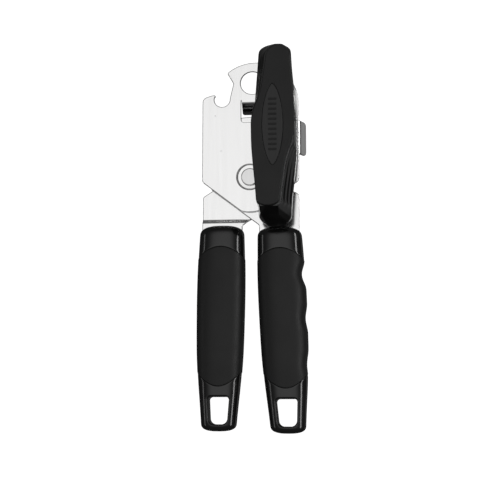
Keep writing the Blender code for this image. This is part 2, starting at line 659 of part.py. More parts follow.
def knob_face_outline():
    limit = KNOB_FACE_HALF_LENGTH
    upper, lower = KNOB_FACE_CORNERS
    stations = [place for place in knob_stations(limit, upper) if place > 0]
    stations += [place for place in knob_stations(limit, lower) if place <= 0]
    stations.sort()
    right_side = []
    left_side = []
    for place in stations:
        right = face_edge(place)
        left = face_edge(-place)
        middle = (right - left) / 2
        half = (right + left) / 2 * end_cap(place, limit, upper if place > 0 else lower)
        right_side.append((middle + half, place))
        left_side.append((middle - half, place))
    return right_side + left_side[::-1]


def badge_outline(inset):
    """A long oval with pointed ends."""
    length = BADGE_HALF_LENGTH - inset
    width = BADGE_HALF_WIDTH - inset
    places = [-length * cos(pi * i / 16) for i in range(17)]
    edge = [(width * (1 - (y / length) ** 2) ** 0.66, y) for y in places]
    return edge + [(-x, -y) for x, y in edge[1:-1]]


def knob_face(parent):
    mesh = plate_mesh("knob_face", knob_face_outline(), [badge_outline(0)],
                      KNOB_TOP - KNOB_FACE_HEIGHT, KNOB_TOP)
    return finished("knob_face", mesh, parent, SOFT_BLACK)


def knob_badge(parent):
    mesh = plate_mesh("knob_badge", badge_outline(GAP), [],
                      KNOB_TOP - KNOB_FACE_HEIGHT, KNOB_TOP - 0.2 * MM)
    return finished("knob_badge", mesh, parent, BADGE_GREY)


# ---------------------------------------------------------------- turned and stamped hardware

def pivot_rivet(parent):
    floor = PLATE_FRONT - RECESS_DEPTH + GAP
    rear = REAR_BACK - 2 * GAP - 0.7 * MM
    profile = [(PIVOT_HEAD_RADIUS - 0.3 * MM, floor + PIVOT_HEAD_HEIGHT),
               (PIVOT_HEAD_RADIUS, floor + PIVOT_HEAD_HEIGHT - 0.3 * MM), (PIVOT_HEAD_RADIUS, floor),
               (PIVOT_RADIUS, floor), (PIVOT_RADIUS, rear - GAP), (PIVOT_HEAD_RADIUS, rear - GAP),
               (PIVOT_HEAD_RADIUS, rear - 1.0 * MM), (PIVOT_HEAD_RADIUS - 1 * MM, rear - 1.5 * MM)]
    finished("pivot_rivet", turned_mesh("pivot_rivet", profile, False), parent, POLISHED)
    washer = ring_profile(PIVOT_RADIUS + GAP, 5.8 * MM, rear, REAR_BACK - GAP)
    finished("pivot_washer", turned_mesh("pivot_washer", washer, True), parent, ZINC)


def spacer_rivets(parent):
    for place, x, y in SPACER_RIVETS:
        name = "spacer_rivet_" + place
        front = PLATE_FRONT + GAP
        back = REAR_BACK - GAP
        profile = [(SPACER_HEAD_RADIUS - 0.4 * MM, front + SPACER_HEAD_HEIGHT),
                   (SPACER_HEAD_RADIUS, front + SPACER_HEAD_HEIGHT / 2), (SPACER_HEAD_RADIUS, front),
                   (SPACER_SHANK_RADIUS, front), (SPACER_SHANK_RADIUS, ARM_FRONT),
                   (SPACER_RADIUS, ARM_FRONT), (SPACER_RADIUS, ARM_BACK),
                   (SPACER_SHANK_RADIUS, ARM_BACK), (SPACER_SHANK_RADIUS, back),
                   (SPACER_HEAD_RADIUS, back), (SPACER_HEAD_RADIUS, back - SPACER_HEAD_HEIGHT / 2),
                   (SPACER_HEAD_RADIUS - 0.4 * MM, back - SPACER_HEAD_HEIGHT)]
        rivet = finished(name, turned_mesh(name, profile, False, 20), parent, ZINC)
        rivet.location = (x, y, 0)


def crank_bushing(parent):
    bore = SHAFT_RADIUS + GAP
    outer = bore + BUSHING_WALL
    profile = [(bore, REAR_BACK), (outer, REAR_BACK), (outer, PLATE_FRONT + GAP),
               (BUSHING_FLANGE_RADIUS, PLATE_FRONT + GAP), (BUSHING_FLANGE_RADIUS, BUSHING_FLANGE_TOP),
               (bore, BUSHING_FLANGE_TOP)]
    bushing = finished("crank_bushing", turned_mesh("crank_bushing", profile, True), parent, ZINC)
    bushing.location = (*CRANK_AXIS, 0)


def crank_hardware(parent):
    bore = SHAFT_RADIUS + GAP
    end = -BACK_FLAT + 0.3 * MM
    start = KNOB_BASE + SHAFT_IN_KNOB
    shaft = [(SHAFT_RADIUS - 0.3 * MM, start), (SHAFT_RADIUS, start - 0.3 * MM),
             (SHAFT_RADIUS, end + 0.3 * MM), (SHAFT_RADIUS - 0.3 * MM, end)]
    finished("crank_shaft", turned_mesh("crank_shaft", shaft, False), parent, HARDENED)
    spring = ring_profile(bore, BUSHING_FLANGE_RADIUS - 0.5 * MM, BUSHING_FLANGE_TOP + GAP,
                          KNOB_BASE - GAP)
    finished("crank_spring_washer", turned_mesh("crank_spring_washer", spring, True), parent, ZINC)
    washer = ring_profile(bore, FEED_WASHER_RADIUS, FEED_WASHER_BACK,
                          FEED_WASHER_BACK + FEED_WASHER_HEIGHT, 0.1 * MM)
    finished("feed_washer", turned_mesh("feed_washer", washer, True), parent, ZINC)
    teeth = []
    for i in range(FEED_TEETH):
        for share, depth in ((0, 0), (0.5, FEED_TOOTH_DEPTH)):
            angle = 2 * pi * (i + share) / FEED_TEETH
            radius = FEED_WHEEL_RADIUS - depth
            teeth.append((radius * cos(angle), radius * sin(angle)))
    bore_hole = [circle((0, 0), bore)]
    wheel = plate_mesh("feed_wheel", teeth, bore_hole, FEED_WHEEL_BACK, FEED_WHEEL_FRONT)
    finished("feed_wheel", wheel, parent, HARDENED)
    nut = ring_profile(bore, FEED_NUT_RADIUS, -BACK_FLAT, FEED_WHEEL_BACK - GAP, 0.4 * MM)
    finished("feed_nut", turned_mesh("feed_nut", nut, True), parent, ZINC)


def cutter_axle(parent):
    journal_end = CUTTER_BACK - GAP
    shoulder_end = CUTTER_FRONT + GAP + CUTTER_WASHER_HEIGHT + GAP
    profile = [(AXLE_RADIUS - 0.2 * MM, ARM_FRONT - 0.1 * MM), (AXLE_RADIUS, ARM_FRONT - 0.3 * MM),
               (AXLE_RADIUS, ARM_BACK - GAP), (AXLE_SHOULDER_RADIUS, ARM_BACK - GAP),
               (AXLE_SHOULDER_RADIUS, shoulder_end), (AXLE_RADIUS, shoulder_end),
               (AXLE_RADIUS, journal_end), (AXLE_HEAD_RADIUS, journal_end),
               (AXLE_HEAD_RADIUS, -BACK_FLAT + 0.4 * MM), (AXLE_HEAD_RADIUS - 0.4 * MM, -BACK_FLAT)]
    axle = finished("cutter_axle", turned_mesh("cutter_axle", profile, False), parent, ZINC)
    axle.location = (*CUTTER_AXIS, 0)
    ring = ring_profile(AXLE_RADIUS + GAP, AXLE_HEAD_RADIUS, CUTTER_FRONT + GAP,
                        CUTTER_FRONT + GAP + CUTTER_WASHER_HEIGHT, 0.1 * MM)
    washer = finished("cutter_washer", turned_mesh("cutter_washer", ring, True), parent, ZINC)
    washer.location = (*CUTTER_AXIS, 0)


def cutting_wheel(parent):
    bore = AXLE_RADIUS + GAP
    middle = (CUTTER_FRONT + CUTTER_BACK) / 2
    profile = [(bore, CUTTER_BACK), (CUTTER_HUB_RADIUS, CUTTER_BACK), (CUTTER_RADIUS, middle - 0.08 * MM),
               (CUTTER_RADIUS, middle + 0.08 * MM), (CUTTER_HUB_RADIUS, CUTTER_FRONT), (bore, CUTTER_FRONT)]
    mesh = turned_mesh("cutting_wheel", profile, True, 40)
    finished("cutting_wheel", mesh, parent, HARDENED)


# ---------------------------------------------------------------- the opener

def set_down(root):
    """Moves the whole opener so that its box stands centred on the origin, resting on z = 0."""
    bpy.context.view_layer.update()
    graph = bpy.context.evaluated_depsgraph_get()
    points = []
    for thing in bpy.data.objects:
        if thing.type == "MESH" and not thing.hide_render:
            points += [thing.matrix_world @ v.co for v in thing.evaluated_get(graph).data.vertices]
    low = [min(p[k] for p in points) for k in range(3)]
    high = [max(p[k] for p in points) for k in range(3)]
    root.location = (-(low[0] + high[0]) / 2, -(low[1] + high[1]) / 2, -low[2])
    bpy.context.view_layer.update()


def build():
    for thing in list(bpy.data.objects):
        bpy.data.objects.remove(thing)
    root = empty("opener", None, (0, 0))
    left_lever = empty("left_lever", root, (0, 0))
    right_lever = empty("right_lever", root, (0, 0))
    crank = empty("crank", left_lever, CRANK_AXIS)
    cutter_hub = empty("cutter", right_lever, CUTTER_AXIS)

    front_plate(left_lever)
    left_arm(left_lever)
    handle_core(LEFT_HANDLE, left_lever)
    handle_grip(LEFT_HANDLE, left_lever)
    pivot_rivet(left_lever)
    spacer_rivets(left_lever)
    crank_bushing(left_lever)

    right_arm(right_lever)
    handle_core(RIGHT_HANDLE, right_lever)
    handle_grip(RIGHT_HANDLE, right_lever)
    cutter_axle(right_lever)

    crank_hardware(crank)
    knob_core(crank)
    knob_face(crank)
    knob_badge(crank)

    cutting_wheel(cutter_hub)
    set_down(root)


build()
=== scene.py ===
import bpy
import bmesh
import json
from math import atan2, ceil, cos, pi, radians, sin, tan
from mathutils import Matrix, Vector
from mathutils.geometry import tessellate_polygon


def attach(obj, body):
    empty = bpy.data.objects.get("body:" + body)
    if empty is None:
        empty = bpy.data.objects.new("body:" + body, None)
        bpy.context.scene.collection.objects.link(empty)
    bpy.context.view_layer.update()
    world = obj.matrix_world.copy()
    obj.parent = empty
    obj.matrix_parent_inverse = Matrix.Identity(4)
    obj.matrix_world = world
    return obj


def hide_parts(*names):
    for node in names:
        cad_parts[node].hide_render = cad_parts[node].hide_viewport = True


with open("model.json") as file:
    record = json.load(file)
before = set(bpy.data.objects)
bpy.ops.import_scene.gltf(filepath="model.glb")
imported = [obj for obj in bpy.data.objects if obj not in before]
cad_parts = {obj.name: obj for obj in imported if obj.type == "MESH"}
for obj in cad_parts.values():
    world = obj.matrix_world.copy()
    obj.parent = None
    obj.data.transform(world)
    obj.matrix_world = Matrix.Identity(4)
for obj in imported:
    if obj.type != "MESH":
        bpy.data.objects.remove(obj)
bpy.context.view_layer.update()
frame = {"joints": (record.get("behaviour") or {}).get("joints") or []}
pivot = Vector(next(j["pos_m"] for j in frame["joints"] if j["name"] == "lever_pivot"))
print("frame loaded, pivot at", [round(v, 5) for v in pivot])

scene = bpy.context.scene


# shared sizes in millimetres about the pivot, z measured from the middle of the handles
sheet = {"edge": 0.42, "holeEdge": 0.15, "pivotHole": 3.3, "bushingHole": 5.1, "spacerHole": 2.3,
         "axleHole": 2.7}
layers = {"plateBack": 1.05, "plateFront": 2.55, "armBack": -0.75, "armFront": 0.75,
          "rearBack": -2.55, "rearFront": -1.05, "flangeTop": 3.65, "knobBase": 4.95,
          "feedWasherBack": -3.65, "feedWheelFront": -3.95, "feedWheelBack": -5.65,
          "cutterFront": -5.95, "cutterBack": -7.15, "rest": -9.0}
crankAxis = (15.0, 21.8)
cutterAxis = (0.0, 27.3)
spacers = {"upper": (19.0, 45.5), "lower": (21.5, 8.4)}
leftHandle = {"name": "left", "body": "left_lever", "top": (-15.5, -27.2), "lean": -0.014, "finger": ()}
rightHandle = {"name": "right", "body": "right_lever", "top": (16.2, -28.4), "lean": 0.040,
               "finger": ((26.6, 2.0), (50.6, 1.1), (75.2, 0.8))}


def arcPoints(centre, radius, start, end, step=5.0):
    count = max(2, ceil(abs(end - start) / step) + 1)
    angles = [radians(start + (end - start) * i / (count - 1)) for i in range(count)]
    return [(centre[0] + radius * cos(a), centre[1] + radius * sin(a)) for a in angles]


def circlePoints(centre, radius, count=64):
    return arcPoints(centre, radius, 0, 360 * (count - 1) / count, 360 / count)


def arcCorners(centre, radius, start, end, step):
    return [(x, y, 0) for x, y in arcPoints(centre, radius, start, end, step)]


def filletCorner(before, here, after, radius, steps):
    here = Vector(here)
    toBefore = Vector(before) - here
    toAfter = Vector(after) - here
    half = toBefore.angle(toAfter) / 2
    if half < 1e-3 or half > pi / 2 - 1e-3:
        return [tuple(here)] * (steps + 1)
    reach = min(radius / tan(half), 0.46 * toBefore.length, 0.46 * toAfter.length)
    radius = reach * tan(half)
    inward = (toBefore.normalized() + toAfter.normalized()).normalized()
    centre = here + inward * (radius / sin(half))
    first = here + toBefore.normalized() * reach - centre
    last = here + toAfter.normalized() * reach - centre
    start = atan2(first.y, first.x)
    turn = atan2(first.cross(last), first.dot(last))
    return [(centre.x + radius * cos(start + turn * i / steps),
             centre.y + radius * sin(start + turn * i / steps)) for i in range(steps + 1)]


def roundedLoop(corners, steps=6):
    points = []
    for i, (x, y, radius) in enumerate(corners):
        if radius == 0:
            points.append((x, y))
            continue
        after = corners[(i + 1) % len(corners)]
        points += filletCorner(corners[i - 1][:2], (x, y), after[:2], radius, steps)
    return points


def tableCurve(table, place):
    last = len(table) - 2
    index = next((i for i in range(last) if place < table[i + 1][0]), last)

    def slope(i):
        low = table[max(i - 1, 0)]
        high = table[min(i + 1, len(table) - 1)]
        return (high[1] - low[1]) / (high[0] - low[0])

    (x0, y0), (x1, y1) = table[index], table[index + 1]
    span = x1 - x0
    t = min(max((place - x0) / span, 0.0), 1.0)
    rising = y0 * (2 * t**3 - 3 * t**2 + 1) + span * slope(index) * (t**3 - 2 * t**2 + t)
    return rising + y1 * (3 * t**2 - 2 * t**3) + span * slope(index + 1) * (t**3 - t**2)


def smoothStep(t):
    t = min(max(t, 0.0), 1.0)
    return t * t * (3 - 2 * t)


def mix(a, b, share):
    return a + (b - a) * share


def meshFrom(name, points, faces, caps=0):
    # points come in millimetres about the pivot; the last `caps` faces are the flat ones
    mesh = bpy.data.meshes.new(name)
    mesh.from_pydata([pivot + Vector(p) * 0.001 for p in points], [], faces)
    shape = bmesh.new()
    shape.from_mesh(mesh)
    layer = shape.faces.layers.int.new("cap")
    shape.faces.ensure_lookup_table()
    for i in range(len(faces) - caps, len(faces)):
        shape.faces[i][layer] = 1
    bmesh.ops.remove_doubles(shape, verts=shape.verts, dist=1e-8)
    bmesh.ops.recalc_face_normals(shape, faces=shape.faces)
    shape.to_mesh(mesh)
    shape.free()
    return mesh


def quadsBetween(near, far, size):
    return [(near + i, near + (i + 1) % size, far + (i + 1) % size, far + i) for i in range(size)]


def skin(rings, closed=False):
    # a closed skin joins its last ring to the first; an open one is capped at both ends
    size = len(rings[0])
    points = [p for ring in rings for p in ring]
    faces = []
    for r in range(len(rings) if closed else len(rings) - 1):
        faces += quadsBetween(r * size, (r + 1) % len(rings) * size, size)
    if not closed:
        for ring, first in ((rings[0], 0), (rings[-1], (len(rings) - 1) * size)):
            points.append(tuple(sum(p[k] for p in ring) / size for k in range(3)))
            hub = len(points) - 1
            faces += [(hub, first + i, first + (i + 1) % size) for i in range(size)]
    return points, faces


def edgeRings(outline, low, high, edge, hole=False, steps=3):
    # the rings climb from the lower face to the upper one round a softened stamped edge
    area = sum(a[0] * b[1] - b[0] * a[1] for a, b in zip(outline, outline[1:] + outline[:1]))
    if area < 0:
        outline = outline[::-1]
    side = -1 if hole else 1
    count = len(outline)
    inward = []
    for i in range(count):
        here = Vector(outline[i])
        before = (here - Vector(outline[i - 1])).normalized()
        after = (Vector(outline[(i + 1) % count]) - here).normalized()
        normal = Vector((-before.y - after.y, before.x + after.x))
        normal = normal.normalized() if normal.length > 1e-6 else Vector((-before.y, before.x))
        lift = max(normal.dot(Vector((-before.y, before.x))), 0.5)
        inward.append(normal * side / lift)
    turns = [radians(90 * k / steps) for k in range(steps + 1)]
    levels = [(edge * (1 - sin(a)), low + edge * (1 - cos(a))) for a in turns]
    levels += [(edge * (1 - sin(a)), high - edge * (1 - cos(a))) for a in reversed(turns)]
    rings = []
    for inset, z in levels:
        rings.append([(x + n.x * inset, y + n.y * inset, z) for (x, y), n in zip(outline, inward)])
    return rings


def holeRings(centre, radius, low, high, edge=sheet["holeEdge"], count=48):
    return edgeRings(circlePoints(centre, radius, count), low, high, edge, True)


def spacerHoles(low, high):
    return [holeRings(place, sheet["spacerHole"], low, high, count=32) for place in spacers.values()]


def plateMesh(name, ringSets):
    # every set of rings is one wall; its first ring borders the lower face, its last the upper
    points, faces, firsts, lasts = [], [], [], []
    for rings in ringSets:
        size = len(rings[0])
        start = len(points)
        points += [p for ring in rings for p in ring]
        for r in range(len(rings) - 1):
            faces += quadsBetween(start + r * size, start + (r + 1) * size, size)
        firsts.append(list(range(start, start + size)))
        lasts.append(list(range(len(points) - size, len(points))))
    walls = len(faces)
    for loops in (firsts, lasts):
        order = [i for loop in loops for i in loop]
        flat = [[Vector((*points[i][:2], 0)) for i in loop] for loop in loops]
        for triangle in tessellate_polygon(flat):
            faces.append(tuple(order[i] for i in triangle))
    return meshFrom(name, points, faces, len(faces) - walls)


def turnedMesh(name, profile, place=(0, 0), segments=72, ripple=None, bored=False):
    # profile: radius, height, corner radius; ripple(angle) lifts the whole section
    corners = profile if bored else [(0, profile[0][1], 0), *profile, (0, profile[-1][1], 0)]
    outline = roundedLoop(corners, 4)
    if not bored:
        outline = [p for p in outline if p[0] > 1e-6]
    rings = []
    for radius, height in outline:
        ring = []
        for angle in [2 * pi * i / segments for i in range(segments)]:
            lift = ripple(angle) if ripple else 0
            ring.append((place[0] + radius * cos(angle), place[1] + radius * sin(angle), height + lift))
        rings.append(ring)
    return meshFrom(name, *skin(rings, closed=bored))


def cutAcross(mesh, axis, places):
    # adds lines of points across the mesh so that it can be bent there
    shape = bmesh.new()
    shape.from_mesh(mesh)
    normal = Vector((1 - axis, axis, 0))
    for place in places:
        everything = shape.verts[:] + shape.edges[:] + shape.faces[:]
        bmesh.ops.bisect_plane(shape, geom=everything, dist=1e-7,
                               plane_co=pivot + normal * place * 0.001, plane_no=normal)
    shape.to_mesh(mesh)
    shape.free()


def reshape(mesh, change):
    # change takes and gives a point in millimetres about the pivot
    for vertex in mesh.vertices:
        here = (vertex.co - pivot) * 1000
        vertex.co = pivot + Vector(change(here.x, here.y, here.z)) * 0.001


def bendOver(along, z, middle, radius, degrees):
    # how far a point of a sheet gets past the bend line, and how high it is, once the sheet is bent
    bendLength = radius * radians(degrees)
    turn = min(along, bendLength) / radius
    straight = max(along - bendLength, 0)
    outer = radius + z - middle
    height = middle - radius + outer * cos(turn) - straight * sin(turn)
    return outer * sin(turn) + straight * cos(turn), height


def markCapEdges(mesh):
    shape = bmesh.new()
    shape.from_mesh(mesh)
    layer = shape.faces.layers.int.get("cap")
    for edge in shape.edges:
        if layer and len({face[layer] for face in edge.link_faces}) > 1:
            edge.smooth = False
    shape.to_mesh(mesh)
    shape.free()


def addPiece(name, mesh, finish, body, node=None, sharp=38):
    material, slot = finishes[finish]
    mesh.materials.clear()
    mesh.materials.append(material)
    mesh.shade_smooth()
    mesh.set_sharp_from_angle(angle=radians(sharp))
    markCapEdges(mesh)
    piece = bpy.data.objects.new(name, mesh)
    scene.collection.objects.link(piece)
    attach(piece, body)
    if node:
        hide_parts(node)


def joinMeshes(name, meshes):
    shape = bmesh.new()
    for mesh in meshes:
        shape.from_mesh(mesh)
    joined = bpy.data.meshes.new(name)
    shape.to_mesh(joined)
    shape.free()
    return joined


def cutAway(mesh, tool):
    # takes the tool's solid out of the mesh and gives the new mesh back
    body = bpy.data.objects.new("cutBody", mesh)
    knife = bpy.data.objects.new("cutTool", tool)
    scene.collection.objects.link(body)
    scene.collection.objects.link(knife)
    step = body.modifiers.new("cut", "BOOLEAN")
    step.operation = "DIFFERENCE"
    step.solver = "EXACT"
    step.object = knife
    bpy.context.view_layer.update()
    made = bpy.data.meshes.new_from_object(body.evaluated_get(bpy.context.evaluated_depsgraph_get()))
    bpy.data.objects.remove(body)
    bpy.data.objects.remove(knife)
    return made


class Wire:
    # a shader socket that can be used in sums
    def __init__(self, tree, socket=None):
        self.tree = tree
        self.socket = socket

    def node(self, kind, settings=None, sockets=None, out=0):
        made = self.tree.nodes.new(kind)
        for key, value in (settings or {}).items():
            if key == "stops":
                elements = made.color_ramp.elements
                elements.remove(elements[1])
                elements[0].position, elements[0].color = value[0]
                for place, colour in value[1:]:
                    elements.new(place).color = colour
            else:
                setattr(made, key, value)
        for key, value in (sockets or {}).items():
            if isinstance(value, Wire):
                self.tree.links.new(value.socket, made.inputs[key])
            else:
                made.inputs[key].default_value = value
        return Wire(self.tree, made.outputs[out] if len(made.outputs) else None)

    def maths(self, operation, first, second):
        return self.node("ShaderNodeMath", {"operation": operation}, {0: first, 1: second})

    def __add__(self, other):
        return self.maths("ADD", self, other)

    def __radd__(self, other):
        return self.maths("ADD", other, self)

    def __sub__(self, other):
        return self.maths("SUBTRACT", self, other)

    def __rsub__(self, other):
        return self.maths("SUBTRACT", other, self)

    def __mul__(self, other):
        return self.maths("MULTIPLY", self, other)

    def __rmul__(self, other):
        return self.maths("MULTIPLY", other, self)

    def blend(self, low, high):
        # this value mixes two colours
        return self.node("ShaderNodeMix", {"data_type": "RGBA"}, {0: self, 6: low, 7: high}, 2)


def newFinish(name):
    material = bpy.data.materials.new(name)
    material.use_nodes = True
    material.node_tree.nodes.clear()
    return material, Wire(material.node_tree)


def close(material, wires, sockets):
    shader = wires.node("ShaderNodeBsdfPrincipled", {}, sockets)
    wires.node("ShaderNodeOutputMaterial", {}, {"Surface": shader})
    first = sockets["Base Color"]
    if not isinstance(first, Wire):
        material.diffuse_color = first
    return material


def closeFinish(material, wires, look, colour, rough, height):
    strength, depth = look["bump"]      # depth in metres
    bump = wires.node("ShaderNodeBump", {}, {"Strength": strength, "Distance": depth, "Height": height})
    sockets = {"Base Color": colour, "Roughness": rough, "Normal": bump}
    if "metallic" in look:
        sockets["Metallic"] = look["metallic"]
    if "specular" in look:
        sockets["Specular IOR Level"] = look["specular"]
    return close(material, wires, sockets)


def grey(value, warm=0.0):
    return (value * (1 + warm), value, value * (1 - warm), 1)


def objectWire(wires):
    return wires.node("ShaderNodeTexCoord", {}, {}, "Object")


def placeWire(wires, stretch=(1, 1, 1)):
    return wires.node("ShaderNodeMapping", {}, {"Vector": objectWire(wires), "Scale": stretch})


def distanceWire(wires, where, centre):
    return wires.node("ShaderNodeVectorMath", {"operation": "DISTANCE"}, {0: where, 1: centre}, "Value")


def noise(wires, where, scale, detail=3.0, rough=0.55):
    settings = {"Vector": where, "Scale": scale, "Detail": detail, "Roughness": rough}
    return wires.node("ShaderNodeTexNoise", {}, settings)


def ramp(wires, value, low, high):
    sockets = {"Value": value, "From Min": low, "From Max": high}
    return wires.node("ShaderNodeMapRange", {}, sockets)


sheetSteel = {"dark": 0.84, "light": 0.91, "rough": 0.11, "roughSpread": 0.08, "grain": 2600.0,
              "grainLength": 0.035, "clouds": 55.0, "metallic": 1.0, "bump": (0.10, 0.00003),
              "marks": ((-19.4, 35.4), (-16.2, 15.1)), "markSize": 0.55}
# where the painted shadow and painted reflection bands of the bent tongue go
tongueShading = {"box": ((-5.0, 7.6), (31.0, 43.7)), "below": (1.55, 2.15), "soft": 0.25, "streaks": 900.0}


def tongueShadow(wires):
    # painted shadow on the bent tongue inside the window, darkest where it sinks below the plate, with
    # painted reflection bands across it
    place = wires.node("ShaderNodeVectorMath", {"operation": "SUBTRACT"}, {0: objectWire(wires), 1: pivot})
    x, y, z = [wires.node("ShaderNodeSeparateXYZ", {}, {"Vector": place}, i) * 1000 for i in range(3)]
    soft = tongueShading["soft"]
    shadow = 1 - ramp(wires, z, *tongueShading["below"])
    for value, (low, high) in zip((x, y), tongueShading["box"]):
        shadow = shadow * ramp(wires, value, low, low + soft) * (1 - ramp(wires, value, high - soft, high))
    # painted light and dark reflection bands across the bent tongue
    lines = wires.node("ShaderNodeTexNoise", {"noise_dimensions": "1D"},
                       {"W": y * 0.001, "Scale": tongueShading["streaks"], "Detail": 2.0})
    return shadow, ramp(wires, lines, 0.52, 0.66)


def sheetSteelFinish(name, marks=(), tone=1.0):
    material, wires = newFinish(name)
    grain = noise(wires, placeWire(wires, (1, sheetSteel["grainLength"], 1)), sheetSteel["grain"], 4.0)
    streaks = noise(wires, placeWire(wires, (1, 0.05, 1)), 420.0, 2.0)
    clouds = noise(wires, placeWire(wires, (1, 0.6, 1)), sheetSteel["clouds"], 3.0, 0.6)
    shade = ramp(wires, grain * 0.35 + streaks * 0.35 + clouds * 0.3, 0.32, 0.66)
    uneven = ramp(wires, clouds * 0.6 + grain * 0.4, 0.35, 0.65)
    rough = sheetSteel["rough"] + sheetSteel["roughSpread"] * uneven
    height = grain * 0.5 + streaks * 0.3
    colour = shade.blend(grey(sheetSteel["dark"] * tone, 0.004), grey(sheetSteel["light"] * tone, 0.002))
    if marks:
        spots = 0
        markSize = sheetSteel["markSize"]
        for x, y in marks:
            centre = pivot + Vector((x, y, layers["plateFront"])) * 0.001
            away = distanceWire(wires, objectWire(wires), centre)
            spots = spots + 1 - ramp(wires, away, markSize * 0.0004, markSize * 0.001)
        height = height - spots * 0.8
        colour = (spots * 0.45).blend(colour, grey(0.45))
        rough = rough + spots * 0.15
        # painted shade on the bent tongue in the window, with painted reflection bands from near black to
        # mid grey
        shadow, reflectionBands = tongueShadow(wires)
        colour = shadow.blend(colour, reflectionBands.blend(grey(0.03), grey(0.5)))
    return closeFinish(material, wires, sheetSteel, colour, rough, height)


zincPlate = {"dark": 0.50, "light": 0.70, "rough": 0.26, "roughSpread": 0.14, "spangle": 700.0,
             "metallic": 1.0, "bump": (0.25, 0.00002)}


def zincFinish(name):
    material, wires = newFinish(name)
    where = placeWire(wires)
    spangle = wires.node("ShaderNodeTexVoronoi", {"feature": "F1"},
                         {"Vector": where, "Scale": zincPlate["spangle"]}, "Color")
    flake = wires.node("ShaderNodeRGBToBW", {}, {"Color": spangle})
    fine = noise(wires, where, 3000.0, 3.0)
    dull = noise(wires, where, 240.0, 4.0, 0.6)
    shade = ramp(wires, flake * 0.25 + fine * 0.35 + dull * 0.4, 0.3, 0.7)
    colour = shade.blend(grey(zincPlate["dark"], 0.01), grey(zincPlate["light"], -0.004))
    rough = zincPlate["rough"] + zincPlate["roughSpread"] * dull
    return closeFinish(material, wires, zincPlate, colour, rough, fine + dull)


groundSteel = {"dark": 0.34, "light": 0.55, "rough": 0.22, "roughSpread": 0.16, "rings": 5200.0,
               "metallic": 1.0, "bump": (0.30, 0.00002)}


def groundFinish(name, centre):
    # grinding marks run round the axis of the wheel
    material, wires = newFinish(name)
    place = pivot + Vector((*centre, 0)) * 0.001
    flat = wires.node("ShaderNodeVectorMath", {"operation": "MULTIPLY"},
                      {0: objectWire(wires), 1: (1, 1, 0)})
    away = distanceWire(wires, flat, (place.x, place.y, 0))
    rings = wires.node("ShaderNodeTexNoise", {"noise_dimensions": "1D"},
                       {"W": away, "Scale": groundSteel["rings"], "Detail": 3.0})
    blotch = noise(wires, placeWire(wires), 320.0, 4.0, 0.65)
    shade = ramp(wires, rings * 0.55 + blotch * 0.45, 0.3, 0.7)
    colour = shade.blend(grey(groundSteel["dark"], 0.006), grey(groundSteel["light"], 0.01))
    rough = groundSteel["rough"] + groundSteel["roughSpread"] * blotch
    return closeFinish(material, wires, groundSteel, colour, rough, rings)


glossBlack = {"dark": 0.0035, "light": 0.0065, "rough": 0.09, "roughSpread": 0.08,
              "specular": 0.5, "bump": (0.12, 0.00004)}


def glossFinish(name):
    material, wires = newFinish(name)
    flow = noise(wires, placeWire(wires, (0.25, 1, 1)), 190.0, 3.0, 0.5)
    fine = noise(wires, placeWire(wires), 2400.0, 2.0)
    dust = noise(wires, placeWire(wires), 60.0, 4.0, 0.6)
    colour = ramp(wires, dust, 0.35, 0.65).blend(grey(glossBlack["dark"]), grey(glossBlack["light"]))
    uneven = ramp(wires, flow * 0.6 + dust * 0.4, 0.35, 0.65)
    rough = glossBlack["rough"] + glossBlack["roughSpread"] * uneven
    return closeFinish(material, wires, glossBlack, colour, rough, flow + fine * 0.06)


softBlack = {"dark": 0.0068, "light": 0.0122, "rough": 0.44, "roughSpread": 0.10, "pebble": 3400.0,
             "specular": 0.30, "bump": (0.35, 0.00006)}


def softFinish(name, lift=1.0):
    material, wires = newFinish(name)
    where = placeWire(wires)
    pebble = wires.node("ShaderNodeTexVoronoi", {"feature": "SMOOTH_F1"},
                        {"Vector": where, "Scale": softBlack["pebble"]}, "Distance")
    fine = noise(wires, where, 7000.0, 2.0)
    worn = noise(wires, where, 70.0, 4.0, 0.6)
    shade = ramp(wires, fine * 0.4 + worn * 0.4 + pebble * 0.2, 0.32, 0.68)
    colour = shade.blend(grey(softBlack["dark"] * lift), grey(softBlack["light"] * lift))
    rough = softBlack["rough"] + softBlack["roughSpread"] * ramp(wires, worn, 0.35, 0.65)
    return closeFinish(material, wires, softBlack, colour, rough, pebble + fine * 0.4)


badgeGrey = {"dark": 0.012, "light": 0.018, "rough": 0.44, "roughSpread": 0.08, "line": 2300.0,
             "specular": 0.4, "bump": (0.20, 0.00003)}


def badgeFinish(name):
    material, wires = newFinish(name)
    lines = noise(wires, placeWire(wires, (1, 0.04, 1)), badgeGrey["line"], 3.0)
    worn = noise(wires, placeWire(wires), 90.0, 3.0)
    shade = ramp(wires, lines * 0.6 + worn * 0.4, 0.35, 0.65)
    colour = shade.blend(grey(badgeGrey["dark"]), grey(badgeGrey["light"]))
    rough = badgeGrey["rough"] + badgeGrey["roughSpread"] * worn
    return closeFinish(material, wires, badgeGrey, colour, rough, lines)


finishes = {        # each finish with the material slot it belongs to
    "plate": (sheetSteelFinish("stampedSteelMarkedPaintedShade", sheetSteel["marks"]), "polished_steel"),
    "arm": (sheetSteelFinish("stampedSteel"), "polished_steel"),
    "rivet": (sheetSteelFinish("rivetSteel", (), 0.82), "polished_steel"),
    "zinc": (zincFinish("zincPlated"), "zinc_steel"),
    "feed": (groundFinish("groundSteelFeed", crankAxis), "hardened_steel"),
    "cutter": (groundFinish("groundSteelCutter", cutterAxis), "hardened_steel"),
    "gloss": (glossFinish("glossPlastic"), "gloss_black"),
    "soft": (softFinish("softPlastic"), "soft_black"),
    "badge": (badgeFinish("badgeSatin"), "badge_grey"),
    "rib": (softFinish("ribPlastic", 0.5), "badge_grey"),
}
print("finishes made:", len(finishes))


